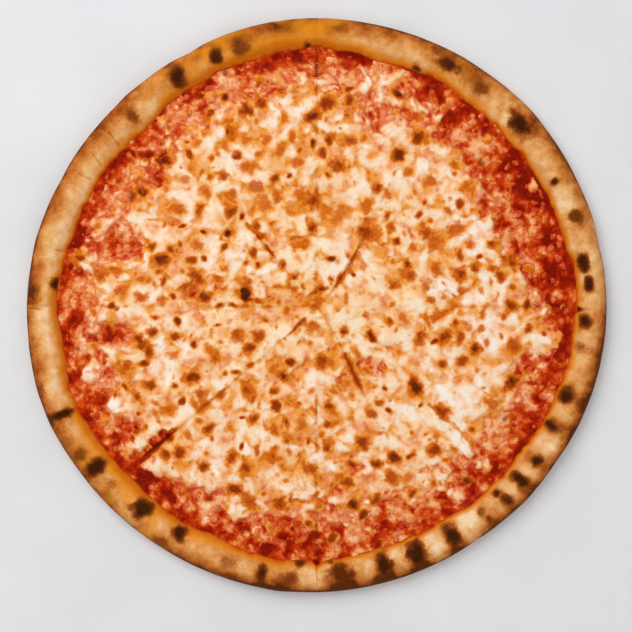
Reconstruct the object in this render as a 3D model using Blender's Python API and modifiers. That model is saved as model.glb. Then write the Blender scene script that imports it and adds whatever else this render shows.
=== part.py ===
"""Whole cheese pizza, cut by hand into eight uneven slices that still lie together.

Each slice has three pieces of its own: the dough with its puffed rim, the tomato sauce spread over
the dough, and the sheet of melted cheese on the sauce. The origin is at the centre of the underside.
"""

import math

import bmesh
import bpy

MM = 0.001

# Driving sizes, in millimetres
MEAN_RADIUS = 149.5
DOUGH_THICKNESS = 4.6
RIM_WIDTH = 20.6
RIM_HEIGHT = 13.0
SAUCE_THICKNESS = 1.3
CHEESE_THICKNESS = 1.9
CUT_WIDTH = 0.4
LAYER_GAP = 0.3

# The outline is a circle with slow waves: how many round the pizza, how high, and their phase.
# Then dents and bulges: bearing, height and half angle
OUTLINE_WAVES = (
    (1, 0.26, 72), (2, 1.39, -54), (3, 0.38, 108), (4, 0.52, -3),
    (5, 0.24, 130), (6, 0.15, 120), (7, 0.17, 24),
)
OUTLINE_DENTS = (
    (12, -0.35, 2.5), (19, 0.30, 3.0), (42, 0.30, 3.0), (54, -0.30, 3.0),
    (117, -0.80, 2.5), (132, 0.40, 2.5), (154, -0.45, 3.0), (167, 0.40, 3.0),
    (185, -0.35, 4.0), (197, 0.40, 3.0), (204, 0.40, 3.0), (215, -0.30, 4.0),
    (262, 0.40, 2.5), (304, -0.45, 2.5), (317, 0.40, 4.0), (327, -0.35, 3.0),
)
RIM_EDGE_WAVES = (
    (3, 0.30, 60), (4, 0.80, -12), (7, 0.25, -66), (12, 0.40, 2), (13, 0.35, -112), (19, 0.30, -177),
)
RIM_SWELL_WAVES = ((3, 0.05, 40), (5, 0.04, 160), (11, 0.035, 15))

# Creases across the rim, as bearings anticlockwise from +X, with how deep they cut into its height
RIM_CREASES = (
    (-20, 0.14), (-27, 0.16), (-35, 0.16), (-41, 0.14), (-46, 0.14), (-51, 0.14), (-60, 0.16),
    (-68, 0.16), (-76, 0.16), (-85, 0.14), (41, 0.10), (122, 0.10), (134, 0.16), (141, 0.14),
    (147, 0.14), (152, 0.12), (204, 0.18), (224, 0.12), (238, 0.12),
)
CREASE_HALF_ANGLE = 2.0

# Cuts from near the middle to the rim: the bearing at the rim, and the bend towards the middle
CUTS = ((0, 0), (61, -25), (90, 0), (130, 0), (180, 0), (221, 8), (270, 0), (297, 9))
CUT_BEND_REACH = 28.0
CUT_CENTRE_Y = -0.6

# How far the cheese reaches from the middle, every fifteen degrees anticlockwise from +X
CHEESE_REACH = (
    121, 113, 110, 115, 118, 121, 122, 122, 120, 117, 119, 118,
    120, 121, 117, 116, 115, 116, 115, 116, 112, 111, 113, 118,
)
CHEESE_LOBES = ((17, 1.6, 70), (29, 1.3, 30))
CHEESE_FORM_RADIUS = 120.0

# Slow waves in the top of the cheese: length of a wave, direction it runs in, height and phase
CHEESE_SWELLS = (
    (41, 15, 0.22, 0), (33, 78, 0.22, 60), (27, 132, 0.20, 200), (19, 40, 0.16, 110), (16, 105, 0.15, 310),
)

CRUST_COLUMNS = 168
SAUCE_COLUMNS = 120
CHEESE_COLUMNS = 144
CHEESE_RING_STEP = 10.0

CRUST_COLOUR = (0.72, 0.42, 0.17, 1.0)
SAUCE_COLOUR = (0.52, 0.05, 0.01, 1.0)
CHEESE_COLOUR = (0.92, 0.68, 0.38, 1.0)


def waves_at(waves, angle):
    """Sum of cosine waves round the pizza at this angle, in radians."""
    return sum(height * math.cos(count * angle + math.radians(phase)) for count, height, phase in waves)


def smooth_step(value, low, high):
    """0 below low, 1 above high, and an eased slope between."""
    share = min(1.0, max(0.0, (value - low) / (high - low)))
    return share * share * (3.0 - 2.0 * share)


def bell_at(angle, bearing, half_angle):
    """1 at the bearing, falling to nothing on both sides of it."""
    off = (math.degrees(angle) - bearing + 180.0) % 360.0 - 180.0
    return math.exp(-((off / half_angle) ** 2))


def outline_radius(angle):
    """Distance from the middle to the outside of the rim."""
    dents = sum(height * bell_at(angle, bearing, half) for bearing, height, half in OUTLINE_DENTS)
    return MEAN_RADIUS + waves_at(OUTLINE_WAVES, angle) + dents


def rim_swell(angle):
    """Height of the rim at this angle, as a share of its usual height."""
    creases = sum(depth * bell_at(angle, bearing, CREASE_HALF_ANGLE) for bearing, depth in RIM_CREASES)
    return 1.0 + waves_at(RIM_SWELL_WAVES, angle) - creases


def cheese_reach(angle):
    """Distance from the middle to the lobed edge of the cheese."""
    place = (math.degrees(angle) % 360.0) / 360.0 * len(CHEESE_REACH)
    before = int(place) % len(CHEESE_REACH)
    after = (before + 1) % len(CHEESE_REACH)
    share = smooth_step(place - int(place), 0.0, 1.0)
    reach = CHEESE_REACH[before] * (1.0 - share) + CHEESE_REACH[after] * share
    return reach + waves_at(CHEESE_LOBES, angle)


def cheese_swell(x, y):
    """Slow rise and fall of the top of the cheese."""
    rise = 0.0
    for length, bearing, height, phase in CHEESE_SWELLS:
        along = x * math.cos(math.radians(bearing)) + y * math.sin(math.radians(bearing))
        rise += height * math.sin(2.0 * math.pi * along / length + math.radians(phase))
    return rise


def clear_scene():
    for found in list(bpy.data.objects):
        bpy.data.objects.remove(found)


def new_collection(name):
    collection = bpy.data.collections.new(name)
    bpy.context.scene.collection.children.link(collection)
    return collection


def food_material(name, colour, roughness):
    material = bpy.data.materials.new(name)
    material.use_nodes = True
    shader = material.node_tree.nodes["Principled BSDF"]
    shader.inputs["Base Color"].default_value = colour
    shader.inputs["Roughness"].default_value = roughness
    shader.inputs["Metallic"].default_value = 0.0
    material.diffuse_color = colour
    return material


def turned_mesh(name, profile, columns):
    """The profile, from the middle of the top round to the middle of the underside, spun about Z."""
    mesh = bpy.data.meshes.new(name + "_profile")
    points = [(radius * MM, 0.0, height * MM) for radius, height in profile]
    mesh.from_pydata(points, [(i, i + 1) for i in range(len(points) - 1)], [])
    spun = bpy.data.objects.new(name + "_profile", mesh)
    bpy.context.scene.collection.objects.link(spun)
    screw = spun.modifiers.new("Turn", "SCREW")
    screw.axis = "Z"
    screw.steps = columns
    screw.render_steps = columns
    screw.use_merge_vertices = True
    screw.merge_threshold = 0.00001
    graph = bpy.context.evaluated_depsgraph_get()
    turned = bpy.data.meshes.new_from_object(spun.evaluated_get(graph))
    turned.name = name
    bpy.data.objects.remove(spun)
    shape = bmesh.new()
    shape.from_mesh(turned)
    bmesh.ops.remove_doubles(shape, verts=shape.verts, dist=0.00001)
    bmesh.ops.recalc_face_normals(shape, faces=shape.faces)
    shape.to_mesh(turned)
    shape.free()
    return turned


def move_points(mesh, place):
    """Moves each point of the mesh to place(angle, radius, height), in millimetres."""
    for vertex in mesh.vertices:
        angle = math.atan2(vertex.co.y, vertex.co.x)
        radius = math.hypot(vertex.co.x, vertex.co.y) / MM
        new_radius, new_height = place(angle, radius, vertex.co.z / MM)
        vertex.co.x = new_radius * math.cos(angle) * MM
        vertex.co.y = new_radius * math.sin(angle) * MM
        vertex.co.z = new_height * MM


def crust_profile():
    """Half section of the dough: its floor, the rim over its crest, and the underside."""
    floor = DOUGH_THICKNESS
    crest = RIM_HEIGHT
    edge = MEAN_RADIUS
    return (
        (0.0, floor),
        (edge - RIM_WIDTH, floor),
        (edge - 18.9, floor + 0.8),
        (edge - 17.1, floor + 2.9),
        (edge - 14.6, crest - 2.7),
        (edge - 11.3, crest - 0.7),
        (edge - 7.4, crest),
        (edge - 3.6, crest - 1.3),
        (edge - 1.1, crest - 4.0),
        (edge, 5.6),
        (edge - 0.6, 3.2),
        (edge - 2.7, 1.0),
        (edge - 6.7, 0.0),
        (0.0, 0.0),
    )


def place_crust(angle, radius, height):
    """Gives the turned dough its uneven outline, its wavy inner edge and its puffs and creases."""
    inset = MEAN_RADIUS - radius
    outward = (outline_radius(angle) - MEAN_RADIUS) * smooth_step(radius, 60.0, 120.0)
    inner = smooth_step(inset, 9.0, 16.0) * (1.0 - smooth_step(inset, 22.0, 48.0))
    new_radius = radius + outward + waves_at(RIM_EDGE_WAVES, angle) * inner
    above_floor = max(0.0, height - DOUGH_THICKNESS)
    return new_radius, height + above_floor * (rim_swell(angle) - 1.0)


def sauce_profile():
    """Half section of the sauce: flat, with a side that leans as the rim's inner wall does."""
    low = DOUGH_THICKNESS + LAYER_GAP
    high = low + SAUCE_THICKNESS
    edge = MEAN_RADIUS - RIM_WIDTH
    return (
        (0.0, high),
        (edge - 2.0, high),
        (edge + 1.7, high - 0.1),
        (edge - 0.2, low),
        (0.0, low),
    )


def place_sauce(angle, radius, height):
    """Keeps the sauce against the rim's inner wall all the way round."""
    outward = (outline_radius(angle) - MEAN_RADIUS) * smooth_step(radius, 60.0, 120.0)
    inner = smooth_step(radius, 100.7, 126.7)
    return radius + outward + waves_at(RIM_EDGE_WAVES, angle) * inner, height


def cheese_profile():
    """Half section of the cheese: rings of points over the top, a rounded edge and a flat underside."""
    low = DOUGH_THICKNESS + LAYER_GAP + SAUCE_THICKNESS + LAYER_GAP
    high = low + CHEESE_THICKNESS
    edge = CHEESE_FORM_RADIUS
    rings = int((edge - 5.0) / CHEESE_RING_STEP)
    top = [(ring * CHEESE_RING_STEP, high) for ring in range(rings + 1)]
    side = [(edge - 3.5, high - 0.3), (edge - 0.7, high - 0.9), (edge, low + 0.5), (edge - 0.8, low)]
    return top + side + [(0.0, low)]


def place_cheese(angle, radius, height):
    """Stretches the cheese to its lobed edge and lets its top rise and fall."""
    low = DOUGH_THICKNESS + LAYER_GAP + SAUCE_THICKNESS + LAYER_GAP
    stretch = cheese_reach(angle) / CHEESE_FORM_RADIUS
    new_radius = radius * (1.0 + (stretch - 1.0) * smooth_step(radius, 20.0, 115.0))
    rise = cheese_swell(new_radius * math.cos(angle), new_radius * math.sin(angle))
    share = max(0.0, height - low) / CHEESE_THICKNESS
    return new_radius, height + rise * share * share


def cut_bearing(cut, radius):
    """Bearing of a cut at this distance from the cutting centre, in degrees."""
    bearing, bend = cut
    return bearing + bend * math.exp(-radius / CUT_BEND_REACH)


def wedge_outline(first, second):
    """Outline of one slice seen from above, half a cut's width inside the two cuts."""
    half_cut = CUT_WIDTH / 2.0
    tip = 0.5
    while math.radians(cut_bearing(second, tip) - cut_bearing(first, tip)) * tip < 2.0 * half_cut:
        tip += 0.05
    radii = (tip, 8.0, 16.0, 28.0, 45.0, 70.0, 110.0, 190.0)

    def point(cut, radius, side):
        angle = math.radians(cut_bearing(cut, radius)) + side * half_cut / radius
        return (radius * math.cos(angle) * MM, (radius * math.sin(angle) + CUT_CENTRE_Y) * MM)

    out = [point(first, radius, 1) for radius in radii]
    far = radii[-1]
    middle = math.radians(0.5 * (cut_bearing(first, far) + cut_bearing(second, far)))
    out.append((2 * far * math.cos(middle) * MM, 2 * far * math.sin(middle) * MM))
    back = [point(second, radius, -1) for radius in reversed(radii[1:])]
    return out + back


def wedge_cutter(name, outline, collection):
    """A tall block over one slice, which the layers are trimmed to."""
    curve = bpy.data.curves.new(name, "CURVE")
    curve.dimensions = "2D"
    curve.fill_mode = "BOTH"
    curve.extrude = 0.03
    spline = curve.splines.new("POLY")
    spline.points.add(len(outline) - 1)
    for point, (x, y) in zip(spline.points, outline):
        point.co = (x, y, 0.0, 1.0)
    spline.use_cyclic_u = True
    drawn = bpy.data.objects.new(name + "_outline", curve)
    bpy.context.scene.collection.objects.link(drawn)
    graph = bpy.context.evaluated_depsgraph_get()
    mesh = bpy.data.meshes.new_from_object(drawn.evaluated_get(graph))
    bpy.data.objects.remove(drawn)
    shape = bmesh.new()
    shape.from_mesh(mesh)
    bmesh.ops.remove_doubles(shape, verts=shape.verts, dist=0.00001)
    bmesh.ops.recalc_face_normals(shape, faces=shape.faces)
    shape.to_mesh(mesh)
    shape.free()
    cutter = bpy.data.objects.new(name, mesh)
    cutter.display_type = "WIRE"
    cutter.hide_render = True
    collection.objects.link(cutter)
    return cutter


def slice_of(name, layer_mesh, cutter, material, collection):
    """One layer of one slice: the whole layer trimmed to the slice's wedge."""
    piece = bpy.data.objects.new(name, layer_mesh.copy())
    piece.data.materials.append(material)
    collection.objects.link(piece)
    trim = piece.modifiers.new("Trim to slice", "BOOLEAN")
    trim.operation = "INTERSECT"
    trim.solver = "EXACT"
    trim.object = cutter
    return piece


def main():
    clear_scene()
    pizza = new_collection("Pizza")
    cutters = new_collection("Slice cutters")
    dough = food_material("Baked dough", CRUST_COLOUR, 0.7)
    tomato = food_material("Tomato sauce", SAUCE_COLOUR, 0.3)
    melt = food_material("Melted cheese", CHEESE_COLOUR, 0.45)
    layers = (
        ("crust", crust_profile(), CRUST_COLUMNS, place_crust, dough),
        ("sauce", sauce_profile(), SAUCE_COLUMNS, place_sauce, tomato),
        ("cheese", cheese_profile(), CHEESE_COLUMNS, place_cheese, melt),
    )
    wedges = []
    for number, first in enumerate(CUTS, start=1):
        bearing, bend = CUTS[number % len(CUTS)]
        second = (bearing + 360 if number == len(CUTS) else bearing, bend)
        wedges.append(wedge_cutter(f"wedge_{number}", wedge_outline(first, second), cutters))
    for layer, profile, columns, place, material in layers:
        whole = turned_mesh(layer, profile, columns)
        move_points(whole, place)
        for number, cutter in enumerate(wedges, start=1):
            slice_of(f"{layer}_{number}", whole, cutter, material, pizza)


main()
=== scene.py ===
"""Looks of a whole cheese pizza: baked dough, tomato sauce and melted cheese, in eight slices.

Every surface is a grid worked out with numpy. Lengths inside the functions are in millimetres, and
angles are in radians unless a name says degrees. Places that were read off the view from above are
in view units: 0.518 mm each, counted from the upper left corner of a square of 632 units.
"""

import math
from types import SimpleNamespace

import bpy
import numpy as np
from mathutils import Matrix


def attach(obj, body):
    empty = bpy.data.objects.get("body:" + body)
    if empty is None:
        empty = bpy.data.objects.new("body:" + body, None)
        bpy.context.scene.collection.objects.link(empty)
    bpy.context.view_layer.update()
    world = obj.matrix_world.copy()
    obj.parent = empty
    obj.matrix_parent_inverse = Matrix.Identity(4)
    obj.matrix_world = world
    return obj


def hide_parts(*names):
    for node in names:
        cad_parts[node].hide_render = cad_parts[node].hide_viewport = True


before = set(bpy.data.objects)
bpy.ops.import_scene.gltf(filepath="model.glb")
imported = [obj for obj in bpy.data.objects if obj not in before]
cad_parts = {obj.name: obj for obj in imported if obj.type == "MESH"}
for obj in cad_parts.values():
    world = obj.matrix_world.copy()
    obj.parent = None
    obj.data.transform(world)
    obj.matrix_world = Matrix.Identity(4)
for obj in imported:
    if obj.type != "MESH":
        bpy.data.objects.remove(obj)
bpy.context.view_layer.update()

bl_info = {
    "name": "Cheese pizza",
    "version": (1, 0, 0),
    "blender": (4, 5, 0),
    "location": "3D View > Sidebar > Pizza",
    "description": "Makes a sliced cheese pizza with its baked rim, sauce and melted cheese",
    "category": "Object",
}

MM = 0.001
SLICES = 8
VIEW_UNIT = 0.518
VIEW_SIDE = 632
VIEW_CENTRE = (316.7, 305.2)

# Stage in metres: height of the level that fills the view, and half the side of the floor
FRAMED_HEIGHT = 0.009
FLOOR_HALF_SIZE = 3.0

# Outline and inner edge of the rim: waves round the pizza, their height and phase in degrees. The dents
# and bulges have a bearing, a height and a half angle
OUTLINE_WAVES = (
    (1, 0.26, 72), (2, 1.39, -54), (3, 0.38, 108), (4, 0.52, -3), (5, 0.24, 130), (6, 0.15, 120),
    (7, 0.17, 24),
)
OUTLINE_DENTS = (
    (12, -0.35, 2.5), (19, 0.30, 3.0), (42, 0.30, 3.0), (54, -0.30, 3.0), (117, -0.80, 2.5),
    (132, 0.40, 2.5), (154, -0.45, 3.0), (167, 0.40, 3.0), (185, -0.35, 4.0), (197, 0.40, 3.0),
    (204, 0.40, 3.0), (215, -0.30, 4.0), (262, 0.40, 2.5), (304, -0.45, 2.5), (317, 0.40, 4.0),
    (327, -0.35, 3.0),
)
RIM_EDGE_WAVES = (
    (3, 0.30, 60), (4, 0.80, -12), (7, 0.25, -66), (12, 0.40, 2), (13, 0.35, -112), (19, 0.30, -177),
)
RIM_SWELL_WAVES = ((3, 0.05, 40), (5, 0.04, 160), (11, 0.035, 15))

# Creases across the rim: bearing in degrees anticlockwise from +X, and share of the height taken;
# the rim's colour is darker in them as painted shade
RIM_CREASES = (
    (-20, 0.14), (-27, 0.16), (-35, 0.16), (-41, 0.14), (-46, 0.14), (-51, 0.14), (-60, 0.16), (-68, 0.16),
    (-76, 0.16), (-85, 0.14), (41, 0.10), (122, 0.10), (134, 0.16), (141, 0.14), (147, 0.14), (152, 0.12),
    (204, 0.18), (224, 0.12), (238, 0.12),
)
CREASE_HALF_ANGLE = 2.0

# Cuts: bearing at the rim, bend towards the middle, and how far a cut has opened, from 0 to 1, at
# distances from the middle. The opening also sets the painted shade along the cut
CUTS = (
    (0, 0, (
        (0, 0.0), (14, 0.02), (40, 0.08), (60, 0.02), (80, 0.10), (104, 0.06), (114, 0.6), (127, 0.7),
        (132, 0.0),
    )),
    (61, -25, (
        (0, 0.0), (12, 0.3), (17, 0.8), (33, 0.7), (42, 0.3), (50, 0.05), (62, 0.05), (70, 0.4),
        (84, 0.3), (100, 0.0),
    )),
    (90, 0, (
        (0, 0.0), (13, 0.1), (16, 0.6), (25, 0.5), (30, 0.0), (52, 0.1), (60, 0.5), (66, 0.1), (108, 0.1),
        (114, 0.7), (127, 0.9), (131, 0.1), (146, 0.0),
    )),
    (130, 0, ((0, 0.0), (28, 0.0), (34, 0.9), (46, 0.8), (52, 0.1), (60, 0.0))),
    (180, 0, ((0, 0.0), (20, 0.2), (36, 0.2), (50, 0.04), (80, 0.08), (110, 0.04), (126, 0.0), (146, 0.1))),
    (221, 8, (
        (0, 0.0), (4, 0.4), (8, 1.0), (17, 0.9), (24, 0.1), (34, 0.05), (42, 0.3), (50, 0.1), (60, 0.8),
        (76, 0.8), (84, 0.1), (94, 0.2), (99, 0.8), (116, 0.9), (122, 0.1), (128, 0.0),
    )),
    (270, 0, (
        (0, 0.0), (42, 0.0), (48, 0.5), (66, 0.5), (74, 0.1), (108, 0.2), (116, 0.7), (126, 0.3), (138, 0.1),
    )),
    (297, 9, ((0, 0.0), (10, 0.3), (20, 0.3), (26, 0.6), (34, 1.0), (46, 1.0), (54, 0.1), (70, 0.0))),
)
CUT_BEND_REACH = 28.0
CUT_CENTRE_Y = -0.6

# Reach of the cheese from the middle, every fifteen degrees anticlockwise from +X
CHEESE_REACH = (
    121, 113, 110, 115, 118, 121, 122, 122, 120, 117, 119, 118,
    120, 121, 117, 116, 115, 116, 115, 116, 112, 111, 113, 118,
)
CHEESE_LOBES = ((17, 1.6, 70), (29, 1.3, 30))
CHEESE_SWELLS = (
    (41, 15, 0.22, 0), (33, 78, 0.22, 60), (27, 132, 0.20, 200), (19, 40, 0.16, 110), (16, 105, 0.15, 310),
)

# Char on the rim in view units: place, half length along the rim, half width across it, darkness
RIM_CHARS = (
    (448, 66, 13, 6, 0.95), (479, 88, 8, 6, 0.6), (519.5, 125, 13, 7.5, 1.0), (554, 182, 3.5, 3, 1.0),
    (575, 217, 7, 6.5, 0.7), (582, 262, 9, 5, 1.0), (588, 284, 7, 4.5, 1.0), (416, 70, 5, 3.5, 1.0),
    (584, 321, 7, 5.5, 1.0), (580, 348, 6, 6, 0.4), (566, 396, 8, 7.5, 1.0), (579, 403, 5, 7, 0.55),
    (552, 426, 5, 7.5, 1.0), (536, 460, 5.5, 5.5, 1.0), (519.5, 479, 5.5, 8.5, 1.0), (496, 493, 3, 3, 0.9),
    (507, 500, 5, 7, 0.85), (488, 517, 2.5, 2.5, 0.7), (481, 512, 4, 4, 0.45), (451, 535, 7.5, 10, 1.0),
    (455, 549, 4, 4, 0.7), (417, 553, 9, 11, 1.0), (383.5, 564, 7.5, 13, 1.0), (341, 574, 13, 11, 0.8),
    (330, 560, 4, 4, 0.95), (301, 559, 6, 6, 0.95), (288, 579, 10, 7, 0.6), (262, 571, 5, 8.5, 0.95),
    (228, 561, 9, 7, 0.35), (180, 533, 7, 6.5, 1.0), (161, 541, 8, 5, 0.5), (142, 508, 9.5, 9, 1.0),
    (113, 483, 6, 6, 0.3), (96, 467, 6.5, 9.5, 1.0), (80, 455, 6, 7, 0.55), (62, 415, 4.5, 12.5, 1.0),
    (40, 388, 7, 5, 0.5), (58, 285, 6, 5.5, 1.0), (35, 290, 9, 5, 0.55), (308, 47, 4.5, 4, 0.95),
    (285, 28, 6, 6, 0.35), (337, 30, 7, 5, 0.45), (216, 57, 6.5, 6, 0.95), (240, 48, 9, 7, 0.6),
    (177, 77, 8, 9, 1.0), (166, 63, 6, 7, 0.6), (132, 115, 5, 8, 0.6), (576, 309.5, 2.5, 7, 1.0),
)

# How the rim differs round the pizza: bearing and half angle in degrees, more browning of the outer edge,
# which on the lower side also stands for painted shade there, more browning all over, and how many
# millimetres further the oil reaches
RIM_BAKES = (
    (0, 7, -0.08, 0.03, 0.0), (15, 9, -0.36, -0.03, 0.0), (30, 8, 0.0, 0.10, -1.0),
    (45, 8, -0.28, 0.04, -1.0), (61, 9, -0.12, 0.20, 1.5), (76, 8, 0.04, 0.10, 0.0),
    (92, 12, -0.14, 0.20, 7.0), (107, 10, 0.06, 0.16, 7.5), (121, 8, -0.14, -0.02, 2.5),
    (135, 7, 0.0, 0.02, 0.0), (150, 13, -0.08, -0.05, -2.5), (167, 8, 0.04, -0.03, -1.5),
    (180, 7, 0.04, 0.0, 3.0), (193, 8, -0.04, -0.03, 2.5), (211, 8, -0.26, 0.13, 4.5),
    (226, 8, -0.24, 0.06, 8.0), (242, 8, -0.06, 0.08, 3.0), (262, 13, 0.22, 0.10, 0.0),
    (286, 9, 0.10, -0.02, -1.0), (301, 8, -0.04, -0.08, -3.5), (317, 9, -0.20, -0.12, -3.0),
    (333, 9, 0.12, -0.02, -3.0), (347, 8, 0.18, 0.06, -1.5),
)

# Tongues of sauce between two slices: bearing, length in millimetres and half angle
SAUCE_TONGUES = ((270, 2.0, 0.9), (90, 0.9, 1.2), (-1, 1.2, 0.8))

# Small cracks of the rim in view units: both ends, half width and strength; painted shade darkens them
RIM_FISSURES = (
    (110, 133, 119, 145, 1.1, 1), (94, 155, 102, 166, 1.1, 1), (79, 174, 92, 180, 1.0, 1),
    (56, 250, 68, 252, 1.0, 1), (27, 308, 42, 309, 1.1, 1), (70, 397, 84, 392, 1.1, 1),
    (566, 238, 554, 242, 1.1, 1), (510, 124, 518, 116, 1.1, 1), (402, 552, 398, 538, 1.1, 1),
    (574, 309, 582, 309, 1.8, 1), (317, 20, 317, 25, 1.4, 1), (317, 560, 317, 586, 0.8, 1),
)

# Browned spots of the cheese in view units: place, radius and how dark they are
CHEESE_SPOTS = (
    (245, 295, 6.5, 1.3), (245, 285, 7, 0.6), (312, 117, 5.5, 1.0), (328, 104, 7, 0.8), (349, 100, 5, 0.8),
    (246, 109, 6, 0.85), (260, 103, 5, 0.8), (337, 164, 7, 0.85), (416, 386, 6.5, 1.0), (191, 377, 6, 0.9),
    (150, 386, 5, 0.8), (137, 398, 5, 0.8), (174, 338, 4.5, 0.7), (148, 351, 6, 0.85), (137, 338, 5, 0.8),
    (161, 259, 6, 0.95), (152, 246, 4, 0.7), (204, 296, 6, 0.85), (196, 276, 6, 0.7), (511, 306, 5, 0.8),
    (511, 262, 7, 0.8), (475, 349, 5.5, 1.0), (462, 362, 5, 0.7), (442, 364, 4, 0.7), (512, 382, 6.5, 1.0),
    (460, 273, 5.5, 0.85), (474, 270, 4.5, 0.7), (514, 346, 7, 0.6), (420, 334, 5, 0.8),
    (283, 376, 4.5, 1.0), (246, 390, 4, 0.7), (276, 405, 5.5, 0.85), (255, 418, 5, 0.9), (209, 428, 5, 0.8),
    (165, 453, 5, 0.85), (178, 452, 6, 0.8), (203, 466, 5, 0.85), (247, 469, 5.5, 0.8), (232, 457, 5, 0.7),
    (273, 457, 5, 0.7), (310, 468, 5, 0.75), (287, 440, 4, 0.7), (377, 464, 4.5, 0.9), (395, 457, 6, 0.95),
    (376, 499, 5, 0.8), (354, 506, 5, 1.0), (364, 516, 4.5, 0.9), (328, 447, 4.5, 0.8), (328, 424, 4, 0.7),
    (329, 406, 5, 0.8), (281, 505, 6, 0.9), (234, 490, 6, 0.85), (228, 234, 4.5, 1.1), (283, 266, 3.5, 0.8),
    (367, 232, 8, 0.75), (400, 154, 6, 0.95), (378, 188, 4.5, 0.8), (420, 138, 6, 0.85), (222, 176, 5, 0.7),
    (238, 156, 4, 0.8), (164, 160, 6, 1.0), (142, 192, 5, 0.9), (196, 244, 6, 0.6), (344, 331, 4, 0.95),
    (524, 443, 5, 0.9), (410, 276, 5, 0.65), (394, 284, 5, 0.6), (423, 232, 6, 0.65), (366, 207, 6, 0.55),
    (322, 362, 6, 0.7), (371, 414, 5, 0.6), (442, 411, 6, 0.8), (436, 448, 7, 0.8), (363, 443, 6, 0.8),
    (346, 481, 6, 0.7), (420, 337, 6, 0.75), (446, 337, 5, 0.8), (500, 276, 5, 0.7), (470, 243, 5, 0.55),
    (434, 243, 7, 0.5), (236, 336, 6, 0.6), (249, 349, 5, 0.8), (214, 357, 6, 0.6), (272, 368, 5, 0.5),
    (300, 425, 5, 0.5), (316, 306, 4, 0.7), (312, 326, 5, 0.5), (180, 210, 6, 0.55), (205, 190, 5, 0.55),
    (280, 150, 5, 0.5), (300, 190, 6, 0.45), (350, 140, 5, 0.65), (340, 215, 7, 0.45), (256, 186, 6, 0.5),
    (120, 290, 6, 0.55), (110, 330, 5, 0.65), (124, 366, 5, 0.6), (168, 410, 6, 0.55), (220, 396, 5, 0.6),
    (160, 300, 5, 0.5), (264, 204, 9, 0.42), (277, 197, 6, 0.5), (313, 202, 6, 0.72), (328, 211, 8, 0.4),
    (246, 167, 6, 0.5), (231, 212, 5, 0.85), (437, 270, 6, 0.55), (426, 284, 6, 0.5), (404, 320, 6, 0.5),
    (435, 316, 6, 0.5), (457, 228, 7, 0.5), (258, 337, 6, 0.65), (142, 345, 6, 0.75), (200, 397, 7, 0.6),
    (132, 197, 7, 0.7), (102, 277, 6, 0.6), (140, 298, 6, 0.6), (493, 405, 7, 0.5), (391, 477, 7, 0.6),
    (248, 499, 7, 0.6), (431, 181, 7, 0.5), (186, 288, 7, 0.6), (170, 438, 4, 0.8), (296, 163, 6, 0.5),
    (266, 140, 5, 0.5),
)

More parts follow.
